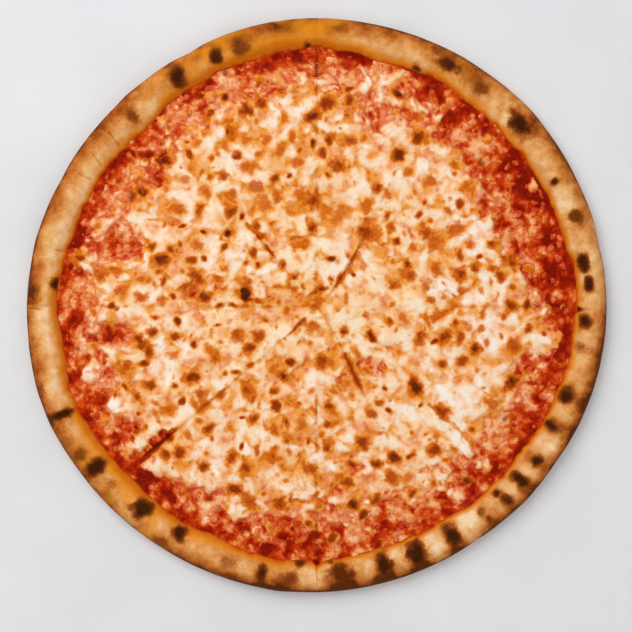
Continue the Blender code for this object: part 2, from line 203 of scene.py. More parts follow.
# Where the cheese lies thin or thick in view units: place, half width, half height and amount
CHEESE_DRIFTS = (
    (520, 165, 42, 52, -0.95), (548, 255, 30, 60, -0.75), (505, 235, 26, 40, -0.35),
    (455, 122, 24, 16, -0.6), (536, 408, 34, 26, -0.60), (478, 462, 48, 22, -0.50),
    (400, 518, 70, 18, -0.55), (352, 468, 14, 20, -0.55), (148, 484, 26, 18, -0.8), (82, 380, 16, 50, -0.7),
    (123, 245, 16, 15, -1.9), (162, 172, 14, 24, -0.6), (222, 524, 50, 16, -0.9), (375, 114, 14, 22, -1.0),
    (350, 120, 16, 26, -0.2), (250, 84, 26, 12, -0.5), (345, 84, 24, 10, -0.4), (204, 284, 22, 16, -0.45),
    (336, 222, 30, 18, -0.25), (448, 330, 22, 18, -0.2), (300, 372, 40, 30, -0.15),
    (150, 410, 26, 20, -0.1), (117, 182, 13, 20, -0.9), (73, 291, 12, 18, -1.5), (110, 332, 26, 10, -0.9),
    (107, 426, 18, 16, -1.2), (312, 60, 30, 10, -1.0), (188, 110, 16, 24, -0.7), (537, 218, 16, 14, -0.7),
    (376, 357, 15, 24, -0.7), (427, 178, 14, 14, -0.9), (470, 126, 14, 12, -0.6), (262, 112, 24, 16, -0.3),
    (535, 393, 18, 10, -0.3), (560, 306, 14, 12, -0.8), (341, 495, 12, 10, -0.5), (316.5, 58, 6, 17, -1.8),
    (317, 547, 7, 15, -1.5), (127, 338, 13, 9, -1.0), (204, 514, 13, 10, -1.2), (188, 292, 12, 10, -0.8),
    (108, 377, 8, 14, -0.9), (246, 537, 14, 6, -1.4), (404, 118, 12, 10, -0.8), (395, 74, 26, 9, 0.9),
    (366, 84, 12, 8, 0.6), (538, 330, 24, 24, 1.2), (534, 186, 9, 11, 2.4), (165, 470, 28, 10, 1.0),
    (212, 480, 34, 12, 0.8), (262, 467, 15, 12, 1.2), (151, 371, 14, 11, 1.1), (420, 264, 12, 12, 1.2),
    (427, 301, 12, 10, 1.2), (391, 186, 13, 15, 1.2), (327, 265, 18, 16, 0.8), (353, 132, 10, 16, 0.7),
    (204, 167, 14, 12, 0.4), (414, 380, 14, 28, 0.3), (470, 428, 24, 14, 0.25), (222, 402, 16, 28, 0.3),
    (416, 458, 14, 12, 0.4), (458, 505, 24, 14, 0.5), (530, 238, 16, 14, 0.3), (280, 170, 70, 50, 0.35),
    (160, 310, 46, 30, 0.35), (250, 250, 46, 34, 0.25), (440, 180, 40, 36, 0.25), (440, 280, 60, 40, 0.3),
    (450, 410, 44, 38, 0.45), (200, 400, 44, 24, 0.30), (158, 276, 12, 11, 0.9), (490, 345, 26, 34, 0.30),
    (240, 430, 40, 30, 0.20), (375, 420, 30, 18, 0.20), (86, 376, 8, 12, 2.2), (238, 514, 13, 9, 1.4),
    (333, 297, 10, 9, 0.8), (345, 217, 12, 10, 0.8), (182, 423, 11, 11, 0.8), (180, 177, 10, 13, 0.8),
    (254, 187, 14, 12, 0.6), (122, 286, 12, 10, 0.6), (565, 374, 7, 9, 1.6), (521, 286, 11, 9, 0.9),
    (365, 488, 11, 9, 0.9), (314, 62, 5, 9, -1.4), (317, 550, 4, 10, -1.4), (85, 262, 8, 9, 1.4),
    (66, 300, 5, 13, -1.2), (92, 403, 7, 7, -1.2), (109, 428, 8, 7, -1.2), (114, 408, 5, 8, 2.0),
    (163, 435, 4, 4, -2.2), (155, 443, 4, 4, -2.4), (146, 453, 4, 4, -2.4), (482, 465, 10, 8, 1.2),
    (138, 447, 10, 8, 0.8),
)

# Strands of cheese that kept their shape, in view units: both ends, half width and height in mm
CHEESE_STRANDS = (
    (408, 410, 430, 442, 6.5, 0.7), (438, 420, 470, 454, 6.0, 0.7), (446, 396, 474, 416, 6.5, 0.5),
    (441, 250, 493, 218, 6.5, 0.5), (470, 372, 492, 398, 5.0, 0.4), (408, 348, 436, 372, 5.5, 0.35),
    (230, 250, 262, 228, 6.0, 0.4), (262, 330, 290, 348, 7.0, 0.4), (236, 366, 292, 336, 6.0, 0.4),
    (150, 316, 196, 326, 7.0, 0.3), (300, 228, 330, 248, 6.0, 0.3), (250, 130, 286, 122, 6.5, 0.4),
    (380, 92, 420, 110, 5.0, 0.3), (424, 170, 450, 200, 6.0, 0.3), (196, 150, 226, 128, 5.5, 0.3),
    (430, 130, 452, 100, 4.0, 0.4), (478, 186, 500, 210, 4.5, 0.3), (330, 380, 344, 410, 5.0, 0.3),
)

# Small clumps of cheese on the bare sauce in view units: place and radius
CHEESE_ISLETS = (
    (487, 467, 5.0), (460, 497, 7.0), (408, 517, 7.0), (500, 440, 5.0), (163, 121, 5.0), (137, 173, 7.0),
    (97, 230, 7.0), (80, 260, 7.0), (183, 113, 5.5), (524, 300, 5.0), (530, 268, 4.5), (488, 140, 4.0),
    (370, 530, 4.5), (336, 538, 4.0), (256, 532, 4.5), (214, 520, 4.0), (182, 500, 4.5), (128, 452, 5.0),
    (102, 420, 5.0), (92, 330, 5.5), (88, 296, 4.0), (118, 210, 5.0), (210, 96, 5.0), (262, 78, 5.0),
    (300, 74, 4.5), (392, 88, 5.0), (438, 118, 4.0), (508, 196, 4.0), (534, 334, 4.5), (520, 400, 4.5),
)

# Oily grooves in the cheese in view units: both ends, half width and depth in mm
CHEESE_GROOVES = (
    (173, 431, 141, 462, 2.6, 1.0), (429, 405, 479, 447, 2.2, 0.6), (252, 274, 276, 252, 3.2, 0.4),
    (294, 290, 316, 279, 2.6, 0.35), (247, 225, 262, 236, 2.4, 0.6), (232, 312, 200, 306, 2.4, 0.25),
    (300, 252, 314, 246, 2.0, 0.2), (455, 372, 492, 398, 2.0, 0.35), (398, 352, 420, 336, 2.0, 0.2),
)

# Noises on the grids: width of their lumps in millimetres, seed and number of layers
NOISES = {
    "cut wobble": (9.0, 81, 2), "cut spread": (5.0, 54, 2), "cut parting": (6.0, 56, 2),
    "rim lumps": (9.0, 71, 2), "rim skin": (2.4, 72, 2), "rim bake": (16.0, 73, 3),
    "rim speckle": (3.2, 74, 2), "rim oil": (11.0, 78, 2), "char edge": (3.6, 61, 3),
    "crack edge": (2.2, 64, 2), "sauce climb": (11.0, 76, 2), "sauce drifts": (13.0, 31, 3),
    "sauce lumps": (5.0, 32, 4), "spot groups": (24.0, 53, 2), "spot edge": (3.0, 51, 3),
    "shred edge": (4.6, 52, 3), "cheese drifts": (16.0, 41, 2), "shift x": (7.0, 42, 2),
    "shift y": (7.0, 43, 2), "curds": (6.5, 44, 2), "crumbs": (2.6, 45, 3), "mottle": (4.6, 49, 2),
    "warmth": (19.0, 47, 2), "blush": (12.0, 55, 3), "gold": (30.0, 48, 2),
}

# Cells of the sauce's grains and of the cheese's lumps in millimetres, and the other seeds
SAUCE_GRANULE = 2.3
CHEESE_LUMP = 4.6
GRANULE_SEED, LUMP_SEED, CLIMB_SEED, OIL_SEED, SPOT_SEED, SHRED_SEED = 33, 50, 77, 75, 11, 23

# Layers in millimetres: room under the sauce, height of the rim's widest line, how far the sauce climbs
# the rim, end of the cheese's grid, and radii at which the columns are as far apart as the sizes say
LAYER_GAP = 0.3
WIDEST_HEIGHT = 5.6
SAUCE_OVERLAP = 2.9
CHEESE_END = 131.0
SAUCE_COLUMNS_AT, CHEESE_COLUMNS_AT = 128.0, 116.0

# Half the width of a closed cut in millimetres, and how much an open one adds to it
CUT_HAIRLINE, CUT_FULL_OPENING = 0.004, 0.058

# Crust: rows on its floor, the inset that they gain towards the tip in millimetres, the rungs of its
# side walls as shares of the way down, and the angle from which an edge of any piece is shaded sharp
FLOOR_ROWS, FLOOR_INSET = 12, 40.0
WALL_STEPS = np.array([0.12, 0.5, 0.88])
SHARP_EDGE_DEGREES = 55.0

# Spots and shreds: growth of the stated spots, half the side of the square that the random spots fill,
# number of shreds, radius that they lie within, and how far outside a slice they still count
SPOT_GROWTH = 1.12
SPOTTED_HALF_WIDTH = 126.0
SHREDS = 1050
SHREDDED_RADIUS = 124.0
SHRED_MARGIN = 12.0

# Sets of random spots: cell of the grid, least and greatest radius, least and greatest darkness
RANDOM_SPOTS = ((9.0, 1.1, 2.7, 0.40, 1.0), (6.0, 0.7, 1.7, 0.10, 0.46))


def from_view(u, v):
    """Place in millimetres of a point given in view units: x to the right, y up the view."""
    return (u - VIEW_CENTRE[0]) * VIEW_UNIT, (VIEW_CENTRE[1] - v) * VIEW_UNIT


def in_mm(sizes):
    """The size settings as plain numbers in millimetres."""
    return SimpleNamespace(**{name: getattr(sizes, name) / MM for name in sizes.__annotations__})


def smooth_step(value, low, high):
    """0 below low, 1 above high, and 3t^2 - 2t^3 between."""
    share = np.clip((value - low) / (high - low), 0.0, 1.0)
    return share * share * (3.0 - 2.0 * share)


def fade(value, low, high):
    """1 below low, 0 above high, and one minus the smooth step between."""
    return 1.0 - smooth_step(value, low, high)


def bell(distance, width):
    """e^(-(distance / width)^2)."""
    return np.exp(-((distance / width) ** 2))


def bell_at(angle, bearing, half_angle):
    """The bell of the angle's distance from the bearing, in degrees."""
    return bell((np.degrees(angle) - bearing + 180.0) % 360.0 - 180.0, half_angle)


def waves_at(waves, angle):
    """Sum of height * cos(count * angle + phase) over the waves."""
    return sum(height * np.cos(count * angle + math.radians(phase)) for count, height, phase in waves)


def lattice_value(column, row, seed):
    """Repeatable value from 0 to 1 at whole-number places: multiplied, mixed and cut to 32 bits."""
    column, row = column.astype(np.int64), row.astype(np.int64)
    mixed = (column * 374761393 + row * 668265263 + seed * 974711) & 0xFFFFFFFF
    mixed = ((mixed ^ (mixed >> 13)) * 1274126177) & 0xFFFFFFFF
    return (mixed ^ (mixed >> 16)) / 4294967295.0


def soft_noise(x, y, size, seed):
    """Noise from -1 to 1: lattice values at the corners of cells of this size, eased between them."""
    column, row = np.floor(x / size), np.floor(y / size)
    across = smooth_step(x / size - column, 0.0, 1.0)
    along = smooth_step(y / size - row, 0.0, 1.0)
    low, high = (
        lattice_value(column, line, seed) * (1 - across) + lattice_value(column + 1, line, seed) * across
        for line in (row, row + 1)
    )
    return 2.0 * (low * (1 - along) + high * along) - 1.0


def noise_at(name, x, y):
    """Soft noise plus finer and weaker copies of it, each turned, half the size and half the height."""
    size, seed, layers = NOISES[name]
    total, weight = 0.0, 1.0
    for layer in range(layers):
        turn = 0.6 + 1.1 * layer
        across = x * math.cos(turn) - y * math.sin(turn)
        along = x * math.sin(turn) + y * math.cos(turn)
        total = total + weight * soft_noise(across, along, size, seed + 31 * layer)
        size *= 0.5
        weight *= 0.5
    return total


def cell_pattern(x, y, size, seed):
    """Distance to the nearest of points scattered one to a cell, in cell sizes, and a value from 0 to 1
    that belongs to that point."""
    column, row = np.floor(x / size), np.floor(y / size)
    nearest = np.full(np.shape(x), 9.0)
    owner = np.zeros(np.shape(x))
    for step_x in (-1, 0, 1):
        for step_y in (-1, 0, 1):
            at_x, at_y = column + step_x, row + step_y
            gap_x = at_x + 0.12 + 0.76 * lattice_value(at_x, at_y, seed) - x / size
            gap_y = at_y + 0.12 + 0.76 * lattice_value(at_x, at_y, seed + 7) - y / size
            gap = np.hypot(gap_x, gap_y)
            owner = np.where(gap < nearest, lattice_value(at_x, at_y, seed + 13), owner)
            nearest = np.minimum(gap, nearest)
    return nearest, owner


def oval_falloff(x, y, place, half_sizes, turn=0.0):
    """Distance from the middle of an oval, as a share of its half sizes."""
    gap_x, gap_y = x - place[0], y - place[1]
    along = gap_x * math.cos(turn) + gap_y * math.sin(turn)
    across = gap_y * math.cos(turn) - gap_x * math.sin(turn)
    return np.hypot(along / half_sizes[0], across / half_sizes[1])


def bar_falloff(x, y, start, end, half_width):
    """Distance from a straight line between two places, as a share of its half width."""
    run = (end[0] - start[0], end[1] - start[1])
    length = run[0] ** 2 + run[1] ** 2
    share = np.clip(((x - start[0]) * run[0] + (y - start[1]) * run[1]) / length, 0.0, 1.0)
    return np.hypot(x - start[0] - share * run[0], y - start[1] - share * run[1]) / half_width


def bars_at(bars, x, y, ragged, low, high):
    """The strongest of the bars at each place: a bar has its full strength where the falloff from its
    middle line, made ragged, is below low, and none above high."""
    strongest = np.zeros(x.shape)
    for u0, v0, u1, v1, half_width, strength in bars:
        reach = bar_falloff(x, y, from_view(u0, v0), from_view(u1, v1), half_width * VIEW_UNIT)
        strongest = np.maximum(strongest, strength * fade(reach + ragged, low, high))
    return strongest


def outline_radius(angle, sizes):
    """Distance from the middle to the outside of the rim: the mean radius, waves and dents."""
    dents = sum(height * bell_at(angle, bearing, half) for bearing, height, half in OUTLINE_DENTS)
    return sizes.mean_radius + waves_at(OUTLINE_WAVES, angle) + dents


def rim_radius(angle, inset, sizes):
    """Distance from the middle at this inset from the outside, with the waves of the inner edge."""
    inner = smooth_step(inset, 9.0, 16.0) * fade(inset, 22.0, 48.0)
    return outline_radius(angle, sizes) - inset + waves_at(RIM_EDGE_WAVES, angle) * inner


def swelled(height, angle, sizes):
    """Heights of the dough with what is above the floor scaled by 1 plus slow waves, less a bell at each
    crease of the rim."""
    creases = sum(depth * bell_at(angle, bearing, CREASE_HALF_ANGLE) for bearing, depth in RIM_CREASES)
    swell = 1.0 + waves_at(RIM_SWELL_WAVES, angle) - creases
    return height + np.maximum(0.0, height - sizes.dough_thickness) * (swell - 1.0)


def cheese_reach(angle):
    """Distance from the middle to the lobed edge of the cheese, eased between the stated bearings."""
    place = (np.degrees(angle) % 360.0) / 360.0 * len(CHEESE_REACH)
    before = np.floor(place).astype(int) % len(CHEESE_REACH)
    after = (before + 1) % len(CHEESE_REACH)
    share = smooth_step(place - np.floor(place), 0.0, 1.0)
    reach = np.array(CHEESE_REACH, float)
    return reach[before] * (1.0 - share) + reach[after] * share + waves_at(CHEESE_LOBES, angle)


def drift_at(x, y):
    """How much more or less cheese lies here than the noise gives: the sum of strength * e^(-reach^2)."""
    drift = np.zeros(x.shape)
    for u, v, half_u, half_v, strength in CHEESE_DRIFTS:
        reach = oval_falloff(x, y, from_view(u, v), (half_u * VIEW_UNIT, half_v * VIEW_UNIT))
        drift = drift + strength * np.exp(-reach**2)
    return drift


def cheese_swell(x, y):
    """Slow rise and fall of the top of the cheese: sine waves that run in different directions."""
    rise = 0.0
    for length, bearing, height, phase in CHEESE_SWELLS:
        along = x * math.cos(math.radians(bearing)) + y * math.sin(math.radians(bearing))
        rise = rise + height * np.sin(2.0 * math.pi * along / length + math.radians(phase))
    return rise


def cut_angle(cut, radius):
    """Bearing of a cut at a distance from the cutting centre: straight at the rim, bent by e^(-r/reach),
    and moved sideways a few tenths of a millimetre by noise along its run."""
    bearing, bend, _ = cut
    lane = np.full(np.shape(radius), (bearing % 360) * 3.0)
    wobble = 0.30 * noise_at("cut wobble", radius, lane) * smooth_step(radius, 3.0, 12.0)
    return np.radians(bearing + bend * np.exp(-radius / CUT_BEND_REACH)) + wobble / np.maximum(radius, 1.0)


def cut_opening(cut, radius):
    """How far a cut has opened, from 0 to 1, at a distance from the cutting centre: straight between
    its stated places."""
    places = np.array(cut[2], float)
    return np.interp(radius, places[:, 0], places[:, 1])


def cut_gap(cut, radius):
    """Half the width of a cut in millimetres: a hairline that grows as the cut opens."""
    return CUT_HAIRLINE + CUT_FULL_OPENING * cut_opening(cut, radius)


def slice_cuts(number):
    """The two cuts at the sides of a slice, the second one taken anticlockwise of the first."""
    first = CUTS[number - 1]
    bearing, bend, opening = CUTS[number % SLICES]
    return first, (bearing + 360 if number == SLICES else bearing, bend, opening)


def slice_angle(number, radius, share, closing=1.0):
    """Angle about the cutting centre at this share of the way from the slice's first cut to its second.
    Closing is how many times the cut's gap this layer keeps clear."""
    first, second = slice_cuts(number)
    low = cut_angle(first, radius) + closing * cut_gap(first, radius) / radius
    high = cut_angle(second, radius) - closing * cut_gap(second, radius) / radius
    return low + (high - low) * share


def slice_tip(number):
    """Distance from the cutting centre at which the slice gets wider than its two cuts."""
    radius = np.linspace(0.1, 8.0, 400)
    spread = slice_angle(number, radius, 1.0) - slice_angle(number, radius, 0.0)
    return float(radius[np.argmax(spread * radius > 0.05)])


def slice_columns(number, at_radius, spacing):
    """Shares across the slice for columns this far apart at this radius, in one row."""
    span = float(slice_angle(number, at_radius, 1.0) - slice_angle(number, at_radius, 0.0))
    return np.linspace(0.0, 1.0, int(round(span * at_radius / spacing)) + 1)[None, :]


def slice_point(number, radius, share, closing=1.0):
    """Place seen from above, at a distance from the cutting centre and a share across the slice."""
    angle = slice_angle(number, radius, share, closing)
    return radius * np.cos(angle), radius * np.sin(angle) + CUT_CENTRE_Y


def reach_from_cutting_centre(number, share, inset, sizes):
    """Distance from the cutting centre at which a column meets this inset from the rim's outside.
    The distance is corrected four times by what is missing along the radius."""
    radius = np.full(np.broadcast(share, inset).shape, sizes.mean_radius) - inset
    for _ in range(4):
        x, y = slice_point(number, radius, share)
        radius = radius + rim_radius(np.arctan2(y, x), inset, sizes) - np.hypot(x, y)
    return radius


def distance_to_cuts(number, radius, share):
    """Distance in millimetres to the nearer of the slice's two cuts, and how far that cut has opened."""
    first, second = slice_cuts(number)
    span = slice_angle(number, radius, 1.0) - slice_angle(number, radius, 0.0)
    to_first, to_second = share * span * radius, (1.0 - share) * span * radius
    opening = np.where(to_first < to_second, cut_opening(first, radius), cut_opening(second, radius))
    return np.minimum(to_first, to_second), opening


def grid_quads(rows, columns):
    """Corner numbers of the quads of a grid whose points are counted row by row."""
    corner = (np.arange(rows - 1)[:, None] * columns + np.arange(columns - 1)[None, :]).ravel()
    return np.stack([corner, corner + columns, corner + columns + 1, corner + 1], axis=1)


def make_piece(name, points, faces, fields, material, node):
    """A mesh from arrays of points in millimetres and of quads, with its fields as point attributes.
    Points that no face uses are left out, and a quad with two equal corners becomes a triangle."""
    used, numbers = np.unique(faces, return_inverse=True)
    faces = numbers.reshape(faces.shape)
    single = faces != np.roll(faces, -1, axis=1)
    starts = np.concatenate([[0], np.cumsum(single.sum(axis=1))[:-1]])
    loops = faces[single]
    mesh = bpy.data.meshes.new(name)
    mesh.vertices.add(len(used))
    mesh.vertices.foreach_set("co", (points[used] * MM).astype(np.float32).ravel())
    mesh.loops.add(len(loops))
    mesh.loops.foreach_set("vertex_index", loops.astype(np.int32))
    mesh.polygons.add(len(faces))
    mesh.polygons.foreach_set("loop_start", starts.astype(np.int32))
    mesh.update(calc_edges=True)
    mesh.validate()
    mesh.shade_smooth()
    mesh.set_sharp_from_angle(angle=math.radians(SHARP_EDGE_DEGREES))
    for field, values in fields.items():
        attribute = mesh.attributes.new(field, "FLOAT", "POINT")
        attribute.data.foreach_set("value", values[used].astype(np.float32))
    mesh.materials.append(material)
    piece = bpy.data.objects.new(name, mesh)
    bpy.context.scene.collection.objects.link(piece)
    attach(piece, "root")
    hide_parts(node)


def smooth_section(corners, spacing):
    """Points this far apart on a curve that runs smoothly through the corners. Each stretch is the
    Catmull-Rom cubic: its end slopes are half the line between the corners on either side."""
    corners = np.array(corners, float)
    padded = np.vstack([2 * corners[0] - corners[1], corners, 2 * corners[-1] - corners[-2]])
    share = np.linspace(0.0, 1.0, 40, endpoint=False)[None, :, None]
    before, start, end, after = (padded[k:len(padded) - 3 + k, None, :] for k in range(4))
    curve = 0.5 * (
        2 * start
        + (end - before) * share
        + (2 * before - 5 * start + 4 * end - after) * share**2
        + (3 * start - before - 3 * end + after) * share**3
    )
    curve = np.vstack([curve.reshape(-1, 2), corners[-1]])
    walked = np.concatenate([[0.0], np.cumsum(np.hypot(*np.diff(curve, axis=0).T))])
    even = np.linspace(0.0, walked[-1], int(round(walked[-1] / spacing)) + 1)
    return np.stack([np.interp(even, walked, curve[:, 0]), np.interp(even, walked, curve[:, 1])], axis=1)


def rim_section(sizes):
    """Insets and heights of the top of the rim, from the floor over the crest to the widest point."""
    floor, crest, width = sizes.dough_thickness, sizes.rim_height, sizes.rim_width
    corners = (
        (width + 6.0, floor), (width, floor), (width - 1.7, floor + 0.8), (width - 3.5, floor + 2.9),
        (width - 6.0, crest - 2.7), (width - 9.3, crest - 0.7), (7.4, crest), (3.6, crest - 1.3),
        (1.1, crest - 4.0), (0.0, WIDEST_HEIGHT),
    )
    return smooth_section(corners, sizes.crust_grain)


def underside_height(inset):
    """Height of the underside at an inset: a rounded foot that runs into the flat base."""
    foot = smooth_section(((0.0, WIDEST_HEIGHT), (0.6, 3.2), (2.7, 1.0), (6.7, 0.0), (9.0, 0.0)), 0.1)
    return np.interp(inset, foot[:, 0], np.maximum(foot[:, 1], 0.0))


def dough_top(inset, angle, sizes):
    """Height of the dough at an inset: the rim's section, swelled."""
    section = rim_section(sizes)[::-1]
    return swelled(np.interp(inset, section[:, 0], section[:, 1]), angle, sizes)


def sauce_edge_inset(angle, sizes):
    """Inset at which the sauce ends on the rim's inner slope, moved by noise round the pizza and by the
    tongues between slices."""
    along = angle * sizes.mean_radius
    lane = np.zeros(np.shape(along))
    climb = 0.7 * noise_at("sauce climb", along, lane) + 0.35 * soft_noise(along, lane, 3.6, CLIMB_SEED)
    tongue = sum(length * bell_at(angle, bearing, half) for bearing, length, half in SAUCE_TONGUES)
    return sizes.rim_width - SAUCE_OVERLAP - np.clip(climb, -1.0, 1.6) - tongue


def char_marks(x, y):
    """How charred the rim is, from 0 to about 1: ovals whose long sides lie along the rim or across it,
    with an edge made ragged by noise. The second value is a weaker browning that spreads wider."""
    ragged = 0.24 * noise_at("char edge", x, y)
    char, scorch = np.zeros(x.shape), np.zeros(x.shape)
    for u, v, along, across, darkness in RIM_CHARS:
        place = from_view(u, v)
        turn = math.atan2(place[1], place[0])
        half_sizes = (1.28 * across * VIEW_UNIT, 1.2 * along * VIEW_UNIT)
        spread = (2.3 * across * VIEW_UNIT, 1.9 * along * VIEW_UNIT)
        reach = oval_falloff(x, y, place, half_sizes, turn) + ragged
        char = np.maximum(char, darkness * fade(reach, 0.25, 1.45))
        reach = oval_falloff(x, y, place, spread, turn) + ragged
        scorch = np.maximum(scorch, darkness * fade(reach, 0.2, 1.2))
    return char, scorch


def crust_rows(number, share, sizes):
    """Distances from the cutting centre, insets and heights of the rows of the dough's top: even rows
    over the flat floor, and then the rim's section."""
    section = rim_section(sizes)
    inset, height = section[:, :1], section[:, 1:]
    wall = reach_from_cutting_centre(number, share, inset, sizes)
    tip = slice_tip(number)
    floor_share = np.linspace(0.0, 1.0, FLOOR_ROWS, endpoint=False)[:, None]
    radius = np.vstack([tip + (wall[:1] - tip) * floor_share, wall])
    inset = np.vstack([inset[0] + (1.0 - floor_share) * FLOOR_INSET, inset])
    return radius, inset, np.vstack([np.full(floor_share.shape, sizes.dough_thickness), height])


def rim_browning_and_shade(rim, sizes):
    """Browning and painted shade, oil and stain of the rim. The browning is an even base plus a band along
    the outer side, a dark line at its very edge, noise, scorched places and creases; painted shade darkens
    the lower outer edge, the creases and the cracks, and the puffs between the creases at the lower right are
    painted paler. Oil creeps outward from the sauce, and the stain is a thin line where the sauce ends."""
    upper_side = 0.5 + 0.5 * np.cos(rim.angle - math.radians(115.0))
    slow = noise_at("rim bake", rim.along, rim.over)
    fine = noise_at("rim speckle", rim.along, rim.over)
    lower_right = bell_at(rim.angle, -52, 40)
    crease = np.clip(sum(bell_at(rim.angle, bearing, 2.6) for bearing, _ in RIM_CREASES), 0.0, 1.0)
    edge_bake_and_shade, whole_bake, oil_reach = (np.zeros(rim.angle.shape) for _ in range(3))
    for bearing, half_angle, edge_more_and_shade, whole_more, oil_more in RIM_BAKES:
        near = bell_at(rim.angle, bearing, half_angle)
        edge_bake_and_shade = edge_bake_and_shade + edge_more_and_shade * near
        whole_bake = whole_bake + whole_more * near
        oil_reach = oil_reach + oil_more * near
    band = 6.0 + 5.0 * upper_side + 1.4 * slow
    # Browning plus painted shade: the outer band and the dark line at the edge are darker on the lower side,
    # away from the light, by the outer-edge column of the bake table and by the dark line's own term.
    toast_and_shade = 0.29 + (0.44 + edge_bake_and_shade) * fade(rim.inset, 0.3, 1.5 + band) + whole_bake
    dark_line = (0.44 - 0.14 * upper_side + 0.7 * np.minimum(edge_bake_and_shade, 0.0)) * (1.0 + 0.5 * fine)
    toast_and_shade = toast_and_shade + dark_line * fade(rim.inset, 0.0, 2.0) + 0.16 * slow + 0.08 * fine
    # Scorched places brown the rim. The creases are darker as painted shade, most at the lower right, where
    # the puffs between them are painted paler.
    toast_and_shade = toast_and_shade + 0.34 * rim.scorch + crease * (0.14 + 0.18 * lower_right)
    toast_and_shade = toast_and_shade - (1.0 - crease) * 0.20 * lower_right
    # Painted shade darkens the cracks, and the rim is a little paler about 12 mm in from its outside.
    toast_and_shade = toast_and_shade + 0.25 * rim.crack - 0.06 * bell(rim.inset - 12.0, 3.0)
    to_sauce = rim.inset - sauce_edge_inset(rim.angle, sizes)
    patches = smooth_step(noise_at("rim oil", rim.along, rim.over), -0.9, 1.2)
    patches = patches * (0.10 + 0.10 * np.clip(oil_reach, 0.0, 7.0))
    oil_reach = 1.8 + oil_reach + 1.8 * soft_noise(rim.along, rim.over * 0.0, 11.0, OIL_SEED) + 0.9 * fine
    oil = np.maximum(smooth_step(to_sauce, -np.maximum(oil_reach, 0.5) - 3.0, -0.2), patches)
    return np.clip(toast_and_shade, 0.0, 1.2), oil, smooth_step(to_sauce + 0.35 * fine, -1.3, 0.2)


def closed_shell(sheets, fields, wall_field):
    """Points, faces and fields of a shell whose top and underside share their last row. Ladders with
    three rungs between the two sheets close the sides along the cuts and the tip, and on the rungs one
    field is 1 and the others are 0."""
    rows, columns = sheets.shape[1:3]
    numbers = np.arange(2 * rows * columns).reshape(2, rows, columns)
    numbers[1, -1] = numbers[0, -1]
    quads = grid_quads(rows, columns)
    faces = [numbers[0].ravel()[quads], numbers[1].ravel()[quads][:, ::-1]]
    points = [sheets.reshape(-1, 3)]
    count, ladders = len(points[0]), []
    for side in (0, -1, None):
        place = (0, slice(1, -1)) if side is None else (slice(None, -1), side)
        edge_top, edge_bottom = sheets[0][place], sheets[1][place]
        rungs = edge_top[:, None] + (edge_bottom - edge_top)[:, None] * WALL_STEPS[None, :, None]
        inner = count + np.arange(rungs[..., 0].size).reshape(rungs.shape[:2])
        ladder = np.concatenate([numbers[0][place][:, None], inner, numbers[1][place][:, None]], axis=1)
        ladders.append(ladder)
        if side is None:
            ladder = np.vstack([ladders[0][:1], ladder, ladders[1][:1]])
        else:
            ladder = np.vstack([ladder, np.full((1, ladder.shape[1]), numbers[0, -1, side])])
        wall_quads = ladder.ravel()[grid_quads(*ladder.shape)]
        faces.append(wall_quads[:, ::-1] if side == 0 else wall_quads)
        points.append(rungs.reshape(-1, 3))
        count += inner.size
    on_rungs = count - len(points[0])
    values = {
        name: np.concatenate([field.ravel(), np.full(on_rungs, float(name == wall_field))])
        for name, field in fields.items()
    }
    return np.vstack(points), np.vstack(faces), values


def crust_slice(number, sizes):
    """Dough of one slice: a closed shell of a top and an underside over the same rows and columns.
    Its relief is noise, blisters and cracks, added along the section's outward normal."""
    share = slice_columns(number, sizes.mean_radius, sizes.crust_grain)
    radius, inset, height = crust_rows(number, share, sizes)
    closing = 0.2 + 2.4 * smooth_step(height, sizes.dough_thickness + 0.5, sizes.dough_thickness + 2.5)
    x, y = slice_point(number, radius, share, closing)
    angle = np.arctan2(y, x)
    run = np.gradient(-inset[:, 0]), np.gradient(height[:, 0])
    length = np.hypot(*run)
    out, up = (-run[1] / length)[:, None], (run[0] / length)[:, None]
    rim = SimpleNamespace(angle=angle, inset=inset, along=angle * sizes.mean_radius)
    rim.over = np.cumsum(length)[:, None] + np.zeros(x.shape)
    char, rim.scorch = char_marks(x, y)
    rim.crack = bars_at(RIM_FISSURES, x, y, 0.3 * noise_at("crack edge", x, y), 0.1, 1.2)
    on_rim = fade(inset, sizes.rim_width - 5.0, sizes.rim_width - 1.0)
    relief = 0.30 * noise_at("rim lumps", rim.along, rim.over)
    relief = relief + 0.07 * noise_at("rim skin", rim.along, rim.over)
    relief = relief + 0.25 * char - 0.30 * rim.crack - 0.12
    relief = relief * on_rim * smooth_step(inset, -1.0, 2.5)
    x = x + relief * out * np.cos(angle)
    y = y + relief * out * np.sin(angle)
    top = np.minimum(swelled(height, angle, sizes) + relief * up, sizes.rim_height + 1.1)
    gap, opening = distance_to_cuts(number, radius, share)
    # Along an open cut the lip dips the dough, and its field darkens the colour there as painted shade of the
    # cut.
    lip = bell(gap, 0.7) * opening * on_rim
    top = top - 0.5 * lip
    bottom = np.minimum(underside_height(inset), top)
    sheets = np.stack([np.stack([x, y, top], axis=-1), np.stack([x, y, bottom], axis=-1)])
    sheets[1, -1] = sheets[0, -1]

    toast_and_shade, oil, stain = rim_browning_and_shade(rim, sizes)
    plain = np.zeros(x.shape)
    on_sheets = {
        "toast_and_shade": (toast_and_shade, 0.85), "char": (char * on_rim, 0.0), "oil": (oil, 0.0), "stain": (stain, 0.0),
        "baked_base": (plain, 1.0), "crumb": (plain, 0.0), "cut_painted_shade": (lip, 0.0),
    }
    fields = {}
    for name, (above, below) in on_sheets.items():
        fields[name] = np.stack([above, np.full(x.shape, below)])
        fields[name][1, -1] = above[-1]
    return closed_shell(sheets, fields, "crumb")


